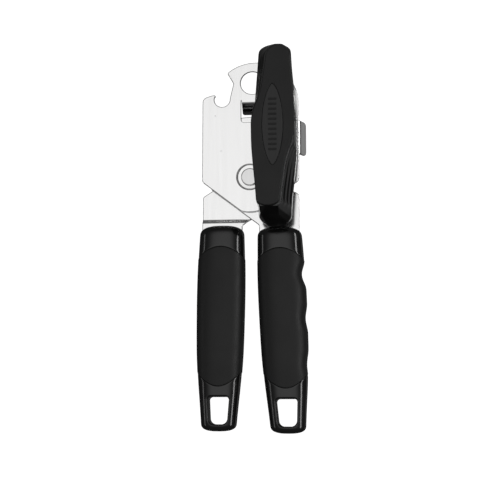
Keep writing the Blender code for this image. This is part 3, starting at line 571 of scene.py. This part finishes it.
frontPlate = {
    "left": -26.8, "right": 27.5, "cornerY": -2.4, "footRadius": 19.9, "footAngle": 14.0,
    "domeRadius": 24.6, "domeY": 41.3, "hangHole": (1.3, 54.1), "hangRadius": 6.5,
    "window": (-4.9, 7.5, 31.3, 43.9), "windowCorner": 1.8,
    "tongueSide": 0.3, "tongueStart": 0.02, "tongueBend": 1.35, "tongueTurn": 50.0, "tongueReach": 7.9,
    "notch": (-15.7, 45.0), "notchRadius": 4.4, "dishRadius": 7.3, "dishDepth": 0.8,
}


def tongueSizes():
    bendLength = frontPlate["tongueBend"] * radians(frontPlate["tongueTurn"])
    return bendLength, bendLength + frontPlate["tongueReach"]


def bendTongue(x, y, z):
    left, right, _, top = frontPlate["window"]
    start = top - frontPlate["tongueStart"]
    along = start - y
    side = frontPlate["tongueSide"]
    slack = 0.3
    if not left + side - slack < x < right - side + slack or not 0 < along <= tongueSizes()[1] + slack:
        return x, y, z
    middle = (layers["plateBack"] + layers["plateFront"]) / 2
    reach, height = bendOver(along, z, middle, frontPlate["tongueBend"], frontPlate["tongueTurn"])
    return x, start - reach, height


def buildFrontPlate():
    p = frontPlate
    corners = [(p["left"], p["cornerY"], 3)]
    corners += arcCorners((0, 0), p["footRadius"], -90 - p["footAngle"], -90 + p["footAngle"], 2)
    corners += [(p["right"], p["cornerY"], 3)]
    corners += arcCorners((p["right"] - p["domeRadius"], p["domeY"]), p["domeRadius"], 0, 128, 2.5)
    toothX, toothY, _ = corners[-1]
    notchX, notchY = p["notch"]
    corners += [(toothX - 0.4, toothY - 0.9, 0.3), (notchX + 6.4, notchY + 9.0, 1.6)]
    corners += arcCorners(p["notch"], p["notchRadius"], 5, -190, 6)
    hookY = notchY + 2.2
    corners += [(notchX - 3.6, hookY - 0.4, 0.2), (notchX - 4.2, hookY + 0.4, 0.3),
                (p["left"] + 5.2, hookY + 0.2, 0), (p["left"], hookY - 1.4, 4.6)]
    outline = roundedLoop(corners, 8)

    left, right, bottom, top = p["window"]
    side = p["tongueSide"]
    tip = top - tongueSizes()[1]
    window = roundedLoop([
        (left, bottom, p["windowCorner"]), (right, bottom, p["windowCorner"]), (right, top, side * 0.98),
        (right - side, top, 0), (right - side, tip, 1.2), (left + side, tip, 1.2),
        (left + side, top, 0), (left, top, side * 0.98)], 6)
    low, high, edge = layers["plateBack"], layers["plateFront"], sheet["edge"]
    walls = [edgeRings(outline, low, high, edge),
             holeRings(p["hangHole"], p["hangRadius"], low, high, edge, 72),
             edgeRings(window, low, high, 0.28, True),
             holeRings(crankAxis, sheet["bushingHole"], low, high)]
    walls += spacerHoles(low, high)
    # the dish pressed round the pivot, from the bore up to the plate's face
    bore, rim, floor = sheet["pivotHole"], p["dishRadius"], high - p["dishDepth"]
    section = [(bore, low), (bore, floor - 0.1), (bore + 0.1, floor), (rim - 0.95, floor),
               (rim - 0.62, floor + 0.05), (rim - 0.34, floor + 0.17), (rim - 0.16, floor + 0.36),
               (rim - 0.02, floor + 0.55), (rim + 0.12, floor + 0.70), (rim + 0.24, high - 0.03),
               (rim + 0.35, high)]
    walls.append([[(r * cos(2 * pi * i / 96), r * sin(2 * pi * i / 96), z) for i in range(96)]
                  for r, z in section])
    mesh = plateMesh("frontPlate", walls)
    bendLength = tongueSizes()[0]
    bendLine = top - p["tongueStart"]
    cutAcross(mesh, 1, [bendLine - bendLength * k / 8 for k in range(9)] + [top - bendLength - 0.25])
    reshape(mesh, bendTongue)
    addPiece("frontPlate", mesh, "plate", "left_lever", "front_plate")


buildFrontPlate()
print("front plate pressed, with its bent tongue and dish")


arms = {
    "shoulder": 14.0, "halfWidth": 11.2, "joggleStart": -23.2, "joggleEnd": -25.8, "joggleStep": 1.8,
    "flangeBottom": 13.4, "flangeTop": 32.6, "bendAt": 26.32, "bendRadius": 1.6, "flangeTurn": 64.0,
    "flangeReach": 6.2, "edge": 25.6, "jawRadius": 34.8,
}


def bendFlange(x, y, z):
    along = x - arms["bendAt"]
    if along <= 0:
        return x, y, z
    middle = (layers["rearBack"] + layers["rearFront"]) / 2
    reach, height = bendOver(along, z, middle, arms["bendRadius"], arms["flangeTurn"])
    return arms["bendAt"] + reach, y, height


def joggle(x, y, z):
    share = (arms["joggleStart"] - y) / (arms["joggleStart"] - arms["joggleEnd"])
    return x, y, z + arms["joggleStep"] * smoothStep(share)


def buildLeftArm():
    edge = arms["edge"]
    middle, top = leftHandle["top"]
    left, right = middle - arms["halfWidth"], middle + arms["halfWidth"]
    end = top - arms["shoulder"]
    bendLength = arms["bendRadius"] * radians(arms["flangeTurn"])
    tip = arms["bendAt"] + bendLength + arms["flangeReach"]
    corners = [(left, end, 3), (right, end, 3), (right, arms["joggleEnd"] - 1.4, 1.5),
               (edge - 3.5, -7.0, 3), (edge, -1.0, 3), (edge, arms["flangeBottom"], 0.8),
               (tip, arms["flangeBottom"], 2.2), (tip, arms["flangeTop"], 2.4),
               (edge, arms["flangeTop"], 0.8)]
    corners += arcCorners(spacers["upper"], edge - spacers["upper"][0], 0, 165, 6)
    corners += [(8.7, 31.8, 1.5), (5.0, 29.8, 0.4), (5.0, 22.6, 1.5), (-3.0, 22.1, 2),
                (-14.0, 5.0, 6), (-20.5, -6.4, 4), (left, -10.4, 2)]
    low, high = layers["rearBack"], layers["rearFront"]
    walls = [edgeRings(roundedLoop(corners, 8), low, high, sheet["edge"]),
             holeRings((0, 0), sheet["pivotHole"], low, high),
             holeRings(crankAxis, sheet["bushingHole"], low, high)]
    mesh = plateMesh("leftArm", walls + spacerHoles(low, high))
    start, stop = arms["joggleStart"], arms["joggleEnd"]
    cutAcross(mesh, 1, [start + 0.3] + [start + (stop - start) * k / 12 for k in range(13)] + [stop - 0.3])
    cutAcross(mesh, 0, [arms["bendAt"] - 0.25] + [arms["bendAt"] + bendLength * k / 10 for k in range(11)]
              + [arms["bendAt"] + bendLength + 0.25])
    reshape(mesh, bendFlange)
    reshape(mesh, joggle)
    addPiece("leftArm", mesh, "arm", "left_lever", "left_arm")


def buildRightArm():
    middle, top = rightHandle["top"]
    left, right = middle - arms["halfWidth"], middle + arms["halfWidth"]
    end = top - arms["shoulder"]
    corners = [(left, end, 3), (right, end, 3), (right, -9.8, 3), (20.5, -6.6, 4), (13.0, 4.0, 6),
               (7.8, 15.0, 4)]
    corners += arcCorners((0, 0), arms["jawRadius"], 78, 126, 2.5)
    corners += [(-17.5, 6.0, 6), (-22.0, -6.4, 1.2), (left, -27.0, 2)]
    low, high = layers["armBack"], layers["armFront"]
    walls = [edgeRings(roundedLoop(corners, 8), low, high, sheet["edge"]),
             holeRings((0, 0), sheet["pivotHole"], low, high),
             holeRings(cutterAxis, sheet["axleHole"], low, high)]
    addPiece("rightArm", plateMesh("rightArm", walls), "arm", "right_lever", "right_arm")


buildLeftArm()
buildRightArm()
print("arms stamped and bent")


handleShape = {
    "length": 112.5, "topCap": 6.0, "bottomCap": 4.5, "endPower": 2.8, "section": 2.5,
    "gripTop": 12.6, "gripTopArch": 6.0, "gripBottom": 88.4, "gripBottomArch": 7.5,
    "wall": 2.2, "proud": 0.2, "flat": 9.0, "seam": 0.12, "seamRadius": 0.25, "roll": 0.45, "facets": 112,
    "slot": (94.0, 108.7, 5.9, 4.9), "slotCorners": (1.8, 3.2), "slotRim": 1.25, "fingerReach": 8.5,
}
handleWidths = ((0, 12.3), (20, 13.05), (34, 13.3), (48, 13.25), (69, 12.85), (81, 12.2), (90, 11.5),
                (97, 10.85), (107, 10.0), (112.5, 9.7))
handleDepths = ((0, 8.0), (12, 8.8), (25, 9.35), (50, 9.5), (76, 9.2), (90, 7.8), (112.5, 6.8))


def endRounding(depth):
    power = handleShape["endPower"]
    top = min(max(depth / handleShape["topCap"], 0.0), 1.0)
    bottom = min(max((handleShape["length"] - depth) / handleShape["bottomCap"], 0.0), 1.0)
    return ((1 - (1 - top) ** power) * (1 - (1 - bottom) ** power)) ** (1 / power)


def fingerCut(handle, depth):
    cut = 0.0
    for place, hollow in handle["finger"]:
        away = min(abs(depth - place) / handleShape["fingerReach"], 1.0)
        cut += hollow * (0.5 + 0.5 * cos(pi * away))
    return cut


def handleRing(handle, depthAt, inset):
    ring = []
    count = handleShape["facets"]
    share = 2 / handleShape["section"]
    for i in range(count):
        angle = 2 * pi * (i + 0.5) / count
        across = abs(cos(angle)) ** share * (1 if cos(angle) > 0 else -1)
        up = abs(sin(angle)) ** share * (1 if sin(angle) > 0 else -1)
        depth = depthAt(across)
        rounding = endRounding(depth)
        width = max(tableCurve(handleWidths, depth) * rounding - inset, 0.05)
        if across > 0:
            width -= fingerCut(handle, depth) * across
        height = max(tableCurve(handleDepths, depth) * rounding - inset, 0.05)
        z = max(up * height, inset - handleShape["flat"])
        x = handle["top"][0] + handle["lean"] * depth + across * width
        ring.append((x, handle["top"][1] - depth, z))
    return ring


def topEdge(across, inside=0.0):
    return handleShape["gripTop"] + handleShape["gripTopArch"] * across**2 + inside


def bottomEdge(across, inside=0.0):
    return handleShape["gripBottom"] - handleShape["gripBottomArch"] * across**2 - inside


def capDepths(reach, steps):
    # places down a rounded end, even along its curve
    turns = [radians(3 + 87 * k / steps) for k in range(steps + 1)]
    return [reach * (1 - cos(a) ** (2 / handleShape["endPower"])) for a in turns]


def ringsBetween(handle, startAt, endAt, shares, inset):
    return [handleRing(handle, lambda a: mix(startAt(a), endAt(a), share), inset) for share in shares]


def seamRings(handle, edgeAt, turns):
    # the core's edge rolls over into the seam
    radius = handleShape["seamRadius"]
    rings = []
    for turn in turns:
        inside = radius * (sin(radians(turn)) - 1) - handleShape["seam"]
        drop = radius * (1 - cos(radians(turn)))
        rings.append(handleRing(handle, lambda a: edgeAt(a, inside), handleShape["proud"] + drop))
    return rings


def buildCore(handle):
    s = handleShape
    proud = s["proud"]
    seam = -s["seam"] - s["seamRadius"]
    rings = [handleRing(handle, lambda a: d, proud) for d in capDepths(s["topCap"], 14)]
    # from the straight cap edge to the arched seam
    rings += ringsBetween(handle, lambda a: s["topCap"], lambda a: topEdge(a, seam),
                          [k / 12 for k in range(1, 13)], proud)
    rings += seamRings(handle, topEdge, (30, 60, 90))
    waist = proud + s["wall"] - 0.5
    rings.append(handleRing(handle, lambda a: topEdge(a, -s["seam"]), waist))
    rings += ringsBetween(handle, topEdge, bottomEdge, (0.25, 0.5, 0.75), waist)
    rings.append(handleRing(handle, lambda a: bottomEdge(a, -s["seam"]), waist))
    rings += seamRings(handle, bottomEdge, (90, 60, 30))
    rings += ringsBetween(handle, lambda a: bottomEdge(a, seam), lambda a: s["length"] - s["bottomCap"],
                          [k / 24 for k in range(25)], proud)
    for d in reversed(capDepths(s["bottomCap"], 12)[:-1]):
        rings.append(handleRing(handle, lambda a: s["length"] - d, proud))
    core = cutAway(meshFrom(handle["name"] + "Core", *skin(rings)), slotTool(handle))
    addPiece(handle["name"] + "Core", core, "gloss", handle["body"], handle["name"] + "_handle", 34)


def topHeight(handle, x, y):
    # height of the core's upper face over a point of the plan
    depth = handle["top"][1] - y
    rounding = endRounding(depth)
    width = tableCurve(handleWidths, depth) * rounding - handleShape["proud"]
    height = tableCurve(handleDepths, depth) * rounding - handleShape["proud"]
    across = min(abs(x - handle["top"][0] - handle["lean"] * depth) / width, 0.98)
    return height * (1 - across ** handleShape["section"]) ** (1 / handleShape["section"])


def slotTool(handle):
    top, bottom, halfTop, halfBottom = handleShape["slot"]
    topCorner, bottomCorner = handleShape["slotCorners"]
    topX, topY = handle["top"]
    middleTop = topX + handle["lean"] * top
    middleBottom = topX + handle["lean"] * bottom
    outline = roundedLoop([(middleBottom - halfBottom, topY - bottom, bottomCorner),
                           (middleBottom + halfBottom, topY - bottom, bottomCorner),
                           (middleTop + halfTop, topY - top, topCorner),
                           (middleTop - halfTop, topY - top, topCorner)], 10)
    rim = handleShape["slotRim"]
    flat = edgeRings(outline, 0, 1, 1.0, False, 2)[2]      # the outline, turned the right way round
    outward = []
    for i in range(len(flat)):
        ahead = Vector(flat[(i + 1) % len(flat)][:2]) - Vector(flat[i - 1][:2])
        outward.append(Vector((ahead.y, -ahead.x)).normalized())
    turns = (0, 12, 24, 36, 48, 58, 68, 76)
    rings = []
    for side, order in ((-1, turns[::-1]), (1, turns)):
        for turn in order:
            spread = rim * (1 - cos(radians(turn)))
            sink = rim * (1 - sin(radians(turn)))
            places = [(x + n.x * spread, y + n.y * spread) for (x, y, _), n in zip(flat, outward)]
            rings.append([(x, y, side * (topHeight(handle, x, y) - sink)) for x, y in places])
    rings.insert(0, [(x, y, -12.0) for x, y, _ in rings[0]])
    rings.append([(x, y, 12.0) for x, y, _ in rings[-1]])
    return meshFrom("slotTool", *skin(rings))


def buildGrip(handle):
    s = handleShape
    roll = s["roll"]
    lining = s["proud"] + s["wall"] - 0.4
    turns = [radians(90 * k / 5) for k in range(6)]

    def lip(edgeAt, order):     # the edge rolls over at each end
        return [handleRing(handle, lambda a: edgeAt(a, roll * (1 - cos(turn))), roll * (1 - sin(turn)))
                for turn in order]

    rings = [handleRing(handle, topEdge, lining)] + lip(topEdge, turns)
    rings += ringsBetween(handle, lambda a: topEdge(a, roll), lambda a: bottomEdge(a, roll),
                          [k / 96 for k in range(1, 96)], 0)
    rings += lip(bottomEdge, turns[::-1]) + [handleRing(handle, bottomEdge, lining)]
    rings += ringsBetween(handle, topEdge, bottomEdge, (0.75, 0.5, 0.25), lining)
    mesh = meshFrom(handle["name"] + "Grip", *skin(rings, closed=True))
    addPiece(handle["name"] + "Grip", mesh, "soft", handle["body"], handle["name"] + "_grip", 40)


for handle in (leftHandle, rightHandle):
    buildCore(handle)
    buildGrip(handle)
    print(handle["name"], "handle moulded")


knob = {
    "halfLength": 51.6, "faceHalfLength": 43.9, "faceCorners": (6.2, 3.4), "endHeight": 1.6,
    "top": 32.5, "faceHeight": 2.0, "rise": 5.0, "badgeHalfLength": 22.5, "badgeHalfWidth": 5.9,
    "fluteDepth": 0.55, "flutes": 3, "ledge": 0.85,
}
knobWidths = ((0, 11.9), (10, 11.7), (18, 11.15), (26, 10.4), (34, 9.65), (42, 9.1), (52, 8.7))
knobShoulder = ((0, 11.7), (5, 11.2), (9.5, 10.0), (14, 8.1), (20, 6.4), (28, 5.1), (36, 4.0), (52, 2.6))


def rimHalfWidth(place):
    return tableCurve(knobWidths, abs(place))


def faceEdge(place):
    full = rimHalfWidth(place) - 0.3
    return full if place >= 0 else min(tableCurve(knobShoulder, -place), full)


def endCap(place, limit, reach, power=2.0):
    share = min(max((limit - abs(place)) / reach, 0.0), 1.0)
    return (1 - (1 - share) ** power) ** (1 / power)


def knobStations(limit, reach, power, middle=80, ends=12):
    inner = limit - reach
    steps = [radians(4 + 86 * k / ends) for k in range(ends)]
    cap = [limit - reach * (1 - cos(a) ** (2 / power)) for a in steps]
    between = [inner - 2 * inner * i / middle for i in range(middle + 1)]
    return cap + between + [-place for place in reversed(cap)]


def fluted(start, end, fade, count=30):
    # points from one corner to the next, with hollows run along the knob between them
    line = Vector(end) - Vector(start)
    inward = Vector((line.y, -line.x)).normalized()
    if inward.x * (start[0] + end[0]) > 0:
        inward = -inward
    points = []
    for i in range(1, count):
        t = i / count
        depth = knob["fluteDepth"] * fade * abs(sin(pi * knob["flutes"] * t)) ** 1.3
        here = Vector(start) + line * t + inward * depth
        points.append((here.x, here.y))
    return points


def knobSection(place):
    k = knob
    reach = k["halfLength"] - k["faceHalfLength"]
    top = k["top"] - k["faceHeight"] - 0.05
    base = layers["knobBase"] + k["rise"] * smoothStep((abs(place) - 12) / 26)
    roundOff = endCap(place, k["halfLength"], reach * 0.75)
    slope = endCap(place, k["halfLength"], reach, 1.05)
    crown = base + k["endHeight"] + (top - base - k["endHeight"]) * slope
    corner, least = (k["faceCorners"][0], 0.45) if place > 0 else (k["faceCorners"][1], 0.78)
    narrowing = max(endCap(place, k["faceHalfLength"] + 0.6, corner), least)
    wide = max(rimHalfWidth(place) * roundOff, 0.3)
    middle = (crown - base) * 0.3 + base

    def edgeOf(side):
        edge = faceEdge(place * side)
        cut = rimHalfWidth(place) - 0.3 - edge
        fade = smoothStep((cut - 0.6) / 2.4) * smoothStep((44 - abs(place)) / 6)
        return edge + k["ledge"] * smoothStep(cut / 1.6), fade

    right, rightFade = edgeOf(1)
    left, leftFade = edgeOf(-1)
    offCentre = (right - left) / 2 * roundOff
    halfCrown = (right + left) / 2 * narrowing * roundOff
    right = min(halfCrown + offCentre, wide - 0.05)
    left = min(halfCrown - offCentre, wide - 0.05)
    corners = [(-wide, base), (-wide, middle), (-left, crown), (right, crown), (wide, middle), (wide, base)]
    radii = [1.1, 3.5, 0.75, 0.75, 3.5, 1.1]
    loops = []
    for i, (corner, radius) in enumerate(zip(corners, radii)):
        loops.append(filletCorner(corners[i - 1], corner, corners[(i + 1) % 6], radius, 6))
    outline = loops[0] + loops[1] + fluted(loops[1][-1], loops[2][0], leftFade) + loops[2]
    outline += loops[3] + fluted(loops[3][-1], loops[4][0], rightFade) + loops[4] + loops[5]
    return [(crankAxis[0] + x, crankAxis[1] + place, z) for x, z in outline]


def faceOutline():
    limit = knob["faceHalfLength"]
    upper, lower = knob["faceCorners"]
    stations = [place for place in knobStations(limit, upper, 2.0, 70, 14) if place > 0]
    stations += [place for place in knobStations(limit, lower, 2.0, 70, 10) if place <= 0]
    rightSide = []
    leftSide = []
    for place in sorted(stations):
        right = faceEdge(place)
        left = faceEdge(-place)
        half = (right + left) / 2 * endCap(place, limit, upper if place > 0 else lower)
        rightSide.append(((right - left) / 2 + half, place))
        leftSide.append(((right - left) / 2 - half, place))
    return [(crankAxis[0] + x, crankAxis[1] + y) for x, y in rightSide + leftSide[::-1]]


def badgeOutline(inset):
    length = knob["badgeHalfLength"] - inset
    width = knob["badgeHalfWidth"] - inset
    places = [-length * cos(pi * i / 40) for i in range(41)]
    edge = [(width * (1 - (y / length) ** 2) ** 0.66 if abs(y) < length else 0, y) for y in places]
    edge += [(-x, -y) for x, y in edge[1:-1]]
    return [(crankAxis[0] + x, crankAxis[1] + y) for x, y in edge]


badgeRibs = {"count": 11, "pitch": 2.75, "halfWidth": 2.3, "halfHeight": 0.62, "lift": 0.14}


def buildKnob():
    k = knob
    reach = k["halfLength"] - k["faceHalfLength"]
    rings = [knobSection(place) for place in knobStations(k["halfLength"], reach, 2.0, 110, 16)]
    addPiece("knobBody", meshFrom("knobBody", *skin(rings)), "gloss", "crank", "knob_core", 50)

    low, high = k["top"] - k["faceHeight"], k["top"]
    walls = [edgeRings(faceOutline(), low, high, 0.6, steps=5),
             edgeRings(badgeOutline(0.15), low, high, 0.22, True)]
    addPiece("knobFace", plateMesh("knobFace", walls), "soft", "crank", "knob_face")

    badgeTop = high - 0.2
    badge = plateMesh("knobBadge", [edgeRings(badgeOutline(0.3), low, badgeTop, 0.18)])
    addPiece("knobBadge", badge, "badge", "crank", "knob_badge")

    ribs = []
    x = crankAxis[0]
    wide, tall = badgeRibs["halfWidth"], badgeRibs["halfHeight"]
    for i in range(badgeRibs["count"]):
        y = crankAxis[1] + (i - (badgeRibs["count"] - 1) / 2) * badgeRibs["pitch"]
        bar = roundedLoop([(x - wide, y - tall, 0.5), (x + wide, y - tall, 0.5),
                           (x + wide, y + tall, 0.5), (x - wide, y + tall, 0.5)], 5)
        ribs.append(plateMesh("rib", [edgeRings(bar, high - 0.5, badgeTop + badgeRibs["lift"], 0.12)]))
    addPiece("knobRibs", joinMeshes("knobRibs", ribs), "rib", "crank")


buildKnob()
print("knob moulded, with its face, badge and ribs")


hardware = {"headRadius": 4.9, "shankRadius": 3.0, "shaftRadius": 3.0, "axleRadius": 2.4, "gap": 0.3,
            "spacerHead": 3.4, "spacerNeck": 2.0, "flangeRadius": 6.5, "nutRadius": 4.4, "feedTeeth": 32,
            "feedRadius": 7.6, "toothDepth": 0.7, "cutterRadius": 8.5, "wave": 0.12}


def turnedPiece(name, profile, place, finish, body, node, segments=72, bored=True, ripple=None, sharp=38):
    mesh = turnedMesh(name, profile, place, segments, ripple, bored)
    addPiece(name, mesh, finish, body, node, sharp)


def washerProfile(bore, radius, low, thick, boreEdge, rimEdge):
    high = low + thick
    return [(bore, low, boreEdge), (radius, low, rimEdge), (radius, high, rimEdge), (bore, high, boreEdge)]


def buildRivets():
    h = hardware
    floor = layers["plateFront"] - frontPlate["dishDepth"]
    back = layers["rearBack"] - 0.6 - 0.7
    head, shank = h["headRadius"], h["shankRadius"]
    profile = [(head - 0.5, floor + 1.25, 0.5), (head, floor + 1.0, 0.3), (head, floor + 0.12, 0.2),
               (shank, floor + 0.05, 0), (shank, back - 0.3, 0), (head, back - 0.3, 0.2),
               (head - 0.2, back - 1.1, 0.5), (head - 1.6, back - 1.5, 0.8)]
    turnedPiece("pivotRivet", profile, (0, 0), "rivet", "left_lever", "pivot_rivet", bored=False)
    profile = washerProfile(sheet["pivotHole"], 5.8, back, 0.65, 0.1, 0.2)
    turnedPiece("pivotWasher", profile, (0, 0), "zinc", "left_lever", "pivot_washer")
    front = layers["plateFront"] + 0.05
    rear = layers["rearBack"] - 0.05
    head, neck = h["spacerHead"], h["spacerNeck"]
    profile = [(2.2, front + 1.0, 0.8), (head, front + 0.6, 0.4), (head, front, 0.15), (neck, front, 0),
               (neck, 0.75, 0), (3.0, 0.75, 0.15), (3.0, -0.75, 0.15), (neck, -0.75, 0),
               (neck, rear, 0), (head, rear, 0.15), (head, rear - 0.6, 0.4), (2.2, rear - 1.0, 0.8)]
    for name, place in spacers.items():
        turnedPiece(name + "Spacer", profile, place, "zinc", "left_lever", "spacer_rivet_" + name, 48, False)


def buildCrank():
    h = hardware
    bore = h["shaftRadius"] + h["gap"]
    front, flange = layers["plateFront"] + 0.05, layers["flangeTop"]
    rear = layers["rearBack"]
    profile = [(bore, rear, 0.2), (bore + 1.5, rear, 0.3), (bore + 1.5, front, 0),
               (h["flangeRadius"], front, 0.15), (h["flangeRadius"], flange, 0.3), (bore, flange, 0.2)]
    turnedPiece("crankBushing", profile, crankAxis, "zinc", "left_lever", "crank_bushing")
    end = layers["rest"] + 0.3
    profile = [(h["shaftRadius"], layers["knobBase"] + 10, 0.3), (h["shaftRadius"], end, 0.5)]
    turnedPiece("crankShaft", profile, crankAxis, "feed", "crank", "crank_shaft", 48, False)
    profile = washerProfile(bore, 6.0, flange + h["gap"] + 0.12, 0.4, 0.08, 0.12)
    turnedPiece("springWasher", profile, crankAxis, "zinc", "crank", "crank_spring_washer", 96, True,
                lambda a: h["wave"] * cos(3 * a))
    profile = washerProfile(bore, 5.5, layers["feedWasherBack"], 0.5, 0.08, 0.15)
    turnedPiece("feedWasher", profile, crankAxis, "zinc", "crank", "feed_washer")
    addPiece("feedWheel", feedWheelMesh(bore), "feed", "crank", "feed_wheel")
    low, high = layers["rest"], layers["feedWheelBack"] - 0.1
    corners = [(h["nutRadius"] * cos(radians(60 * i)), h["nutRadius"] * sin(radians(60 * i)), 0.35)
               for i in range(6)]
    hexagon = [(x + crankAxis[0], y + crankAxis[1]) for x, y in roundedLoop(corners, 4)]
    walls = [edgeRings(hexagon, low, high, 0.35),
             holeRings(crankAxis, bore - 0.2, low, high, 0.3)]
    addPiece("feedNut", plateMesh("feedNut", walls), "zinc", "crank", "feed_nut")


def feedWheelMesh(bore):
    # square-rooted teeth with flat tips, like a cut gear
    h = hardware
    outer, inner = h["feedRadius"], h["feedRadius"] - h["toothDepth"]
    outline = []
    for i in range(h["feedTeeth"]):
        for share, radius in ((-0.16, outer), (0.16, outer), (0.36, inner), (0.64, inner)):
            angle = 2 * pi * (i + share) / h["feedTeeth"]
            outline.append((crankAxis[0] + radius * cos(angle), crankAxis[1] + radius * sin(angle)))
    low, high = layers["feedWheelBack"], layers["feedWheelFront"]
    return plateMesh("feedWheel", [edgeRings(outline, low, high, 0.12, steps=2),
                                   holeRings(crankAxis, bore, low, high, 0.12)])


def buildCutter():
    h = hardware
    front, back = layers["cutterFront"], layers["cutterBack"]
    bore, axle, gap = sheet["axleHole"], h["axleRadius"], h["gap"]
    washer = 0.45
    seat = layers["armBack"] - 0.05
    journal = back - gap
    shoulder = front + gap + washer + gap
    profile = [(2.0, 0.65, 0.15), (axle, 0.45, 0.15), (axle, seat, 0), (3.2, seat, 0.15),
               (3.2, shoulder, 0.15), (axle, shoulder, 0), (axle, journal, 0), (4.2, journal, 0.1),
               (4.2, -8.7, 0.25), (3.4, layers["rest"], 0.4)]
    turnedPiece("cutterAxle", profile, cutterAxis, "zinc", "right_lever", "cutter_axle", bored=False)
    profile = washerProfile(bore, 4.2, front + gap, washer, 0.08, 0.12)
    turnedPiece("cutterWasher", profile, cutterAxis, "zinc", "right_lever", "cutter_washer")
    middle, rim = (front + back) / 2, h["cutterRadius"]
    profile = [(bore, back, 0.1), (4.6, back, 0), (5.0, back + 0.06, 0), (rim - 0.03, middle - 0.05, 0),
               (rim, middle, 0), (rim - 0.03, middle + 0.05, 0), (5.0, front - 0.06, 0), (4.6, front, 0),
               (bore, front, 0.1)]
    turnedPiece("cuttingWheel", profile, cutterAxis, "cutter", "cutter", "cutting_wheel", 120, sharp=8)


buildRivets()
buildCrank()
buildCutter()
print("hardware turned")


studio = {
    "floorSize": 60.0, "floorGlow": 1.0,
    "air": ((0.0, 0.05), (0.35, 0.05), (0.55, 0.12), (0.76, 0.12), (0.85, 0.20), (0.90, 0.38), (0.95, 0.80),
            (0.97, 0.95), (1.0, 1.0)),
    "camera": (60.0, -135.0, 600.0), "target": (0.11, -41.18, 2.5), "lens": 79.56,
    "lights": (     # each looks at the middle of the object: place, size, power
        ("rightStrip", (1.05, 0.05, 0.62), (1.5, 0.20), 6.0),
        ("leftStrip", (-1.25, -0.1, 0.50), (1.2, 0.16), 1.2),
        ("rightLow", (1.0, 0.0, -0.93), (1.5, 0.60), 0.55),
    ),
}


def addLight(name, place, size, power):
    lamp = bpy.data.lights.new(name, "AREA")
    lamp.shape = "RECTANGLE"
    lamp.size, lamp.size_y = size
    lamp.energy = power
    thing = bpy.data.objects.new(name, lamp)
    thing.location = place
    thing.rotation_euler = (-Vector(place)).to_track_quat("-Z", "Y").to_euler()
    thing.visible_camera = False
    scene.collection.objects.link(thing)


def buildStudio():
    half = studio["floorSize"] / 2
    mesh = bpy.data.meshes.new("floor")
    mesh.from_pydata([(-half, -half, 0), (half, -half, 0), (half, half, 0), (-half, half, 0)], [],
                     [(0, 1, 2, 3)])
    material, wires = newFinish("paleFloor")
    close(material, wires, {"Base Color": grey(0.3), "Roughness": 0.9, "Specular IOR Level": 0.0,
                            "Emission Color": grey(1.0), "Emission Strength": studio["floorGlow"]})
    mesh.materials.append(material)
    floor = bpy.data.objects.new("floor", mesh)
    scene.collection.objects.link(floor)
    floor.visible_glossy = False
    floor.visible_diffuse = False
    floor.visible_shadow = False

    world = bpy.data.worlds.new("studioAir")
    world.use_nodes = True
    world.node_tree.nodes.clear()
    air = Wire(world.node_tree)
    ways = air.node("ShaderNodeTexCoord", {}, {}, "Generated")
    height = air.node("ShaderNodeSeparateXYZ", {}, {"Vector": ways}, "Z")
    stops = [(share, grey(glow)) for share, glow in studio["air"]]
    shade = air.node("ShaderNodeValToRGB", {"stops": stops}, {"Fac": height * 0.5 + 0.5})
    glow = air.node("ShaderNodeBackground", {}, {"Color": shade})
    air.node("ShaderNodeOutputWorld", {}, {"Surface": glow})
    scene.world = world
    for light in studio["lights"]:
        addLight(*light)

    lens = bpy.data.cameras.new("camera")
    lens.lens = studio["lens"]
    lens.sensor_width = 36.0
    lens.clip_start = 0.01
    camera = bpy.data.objects.new("camera", lens)
    camera.location = pivot + Vector(studio["camera"]) * 0.001
    ahead = (pivot + Vector(studio["target"]) * 0.001 - camera.location).normalized()
    right = ahead.cross(Vector((0, 1, 0))).normalized()      # the jaws point up in the picture
    camera.rotation_euler = Matrix((right, right.cross(ahead), -ahead)).transposed().to_euler()
    scene.collection.objects.link(camera)
    scene.camera = camera
    scene.view_settings.view_transform = "Standard"


buildStudio()
print("studio set")
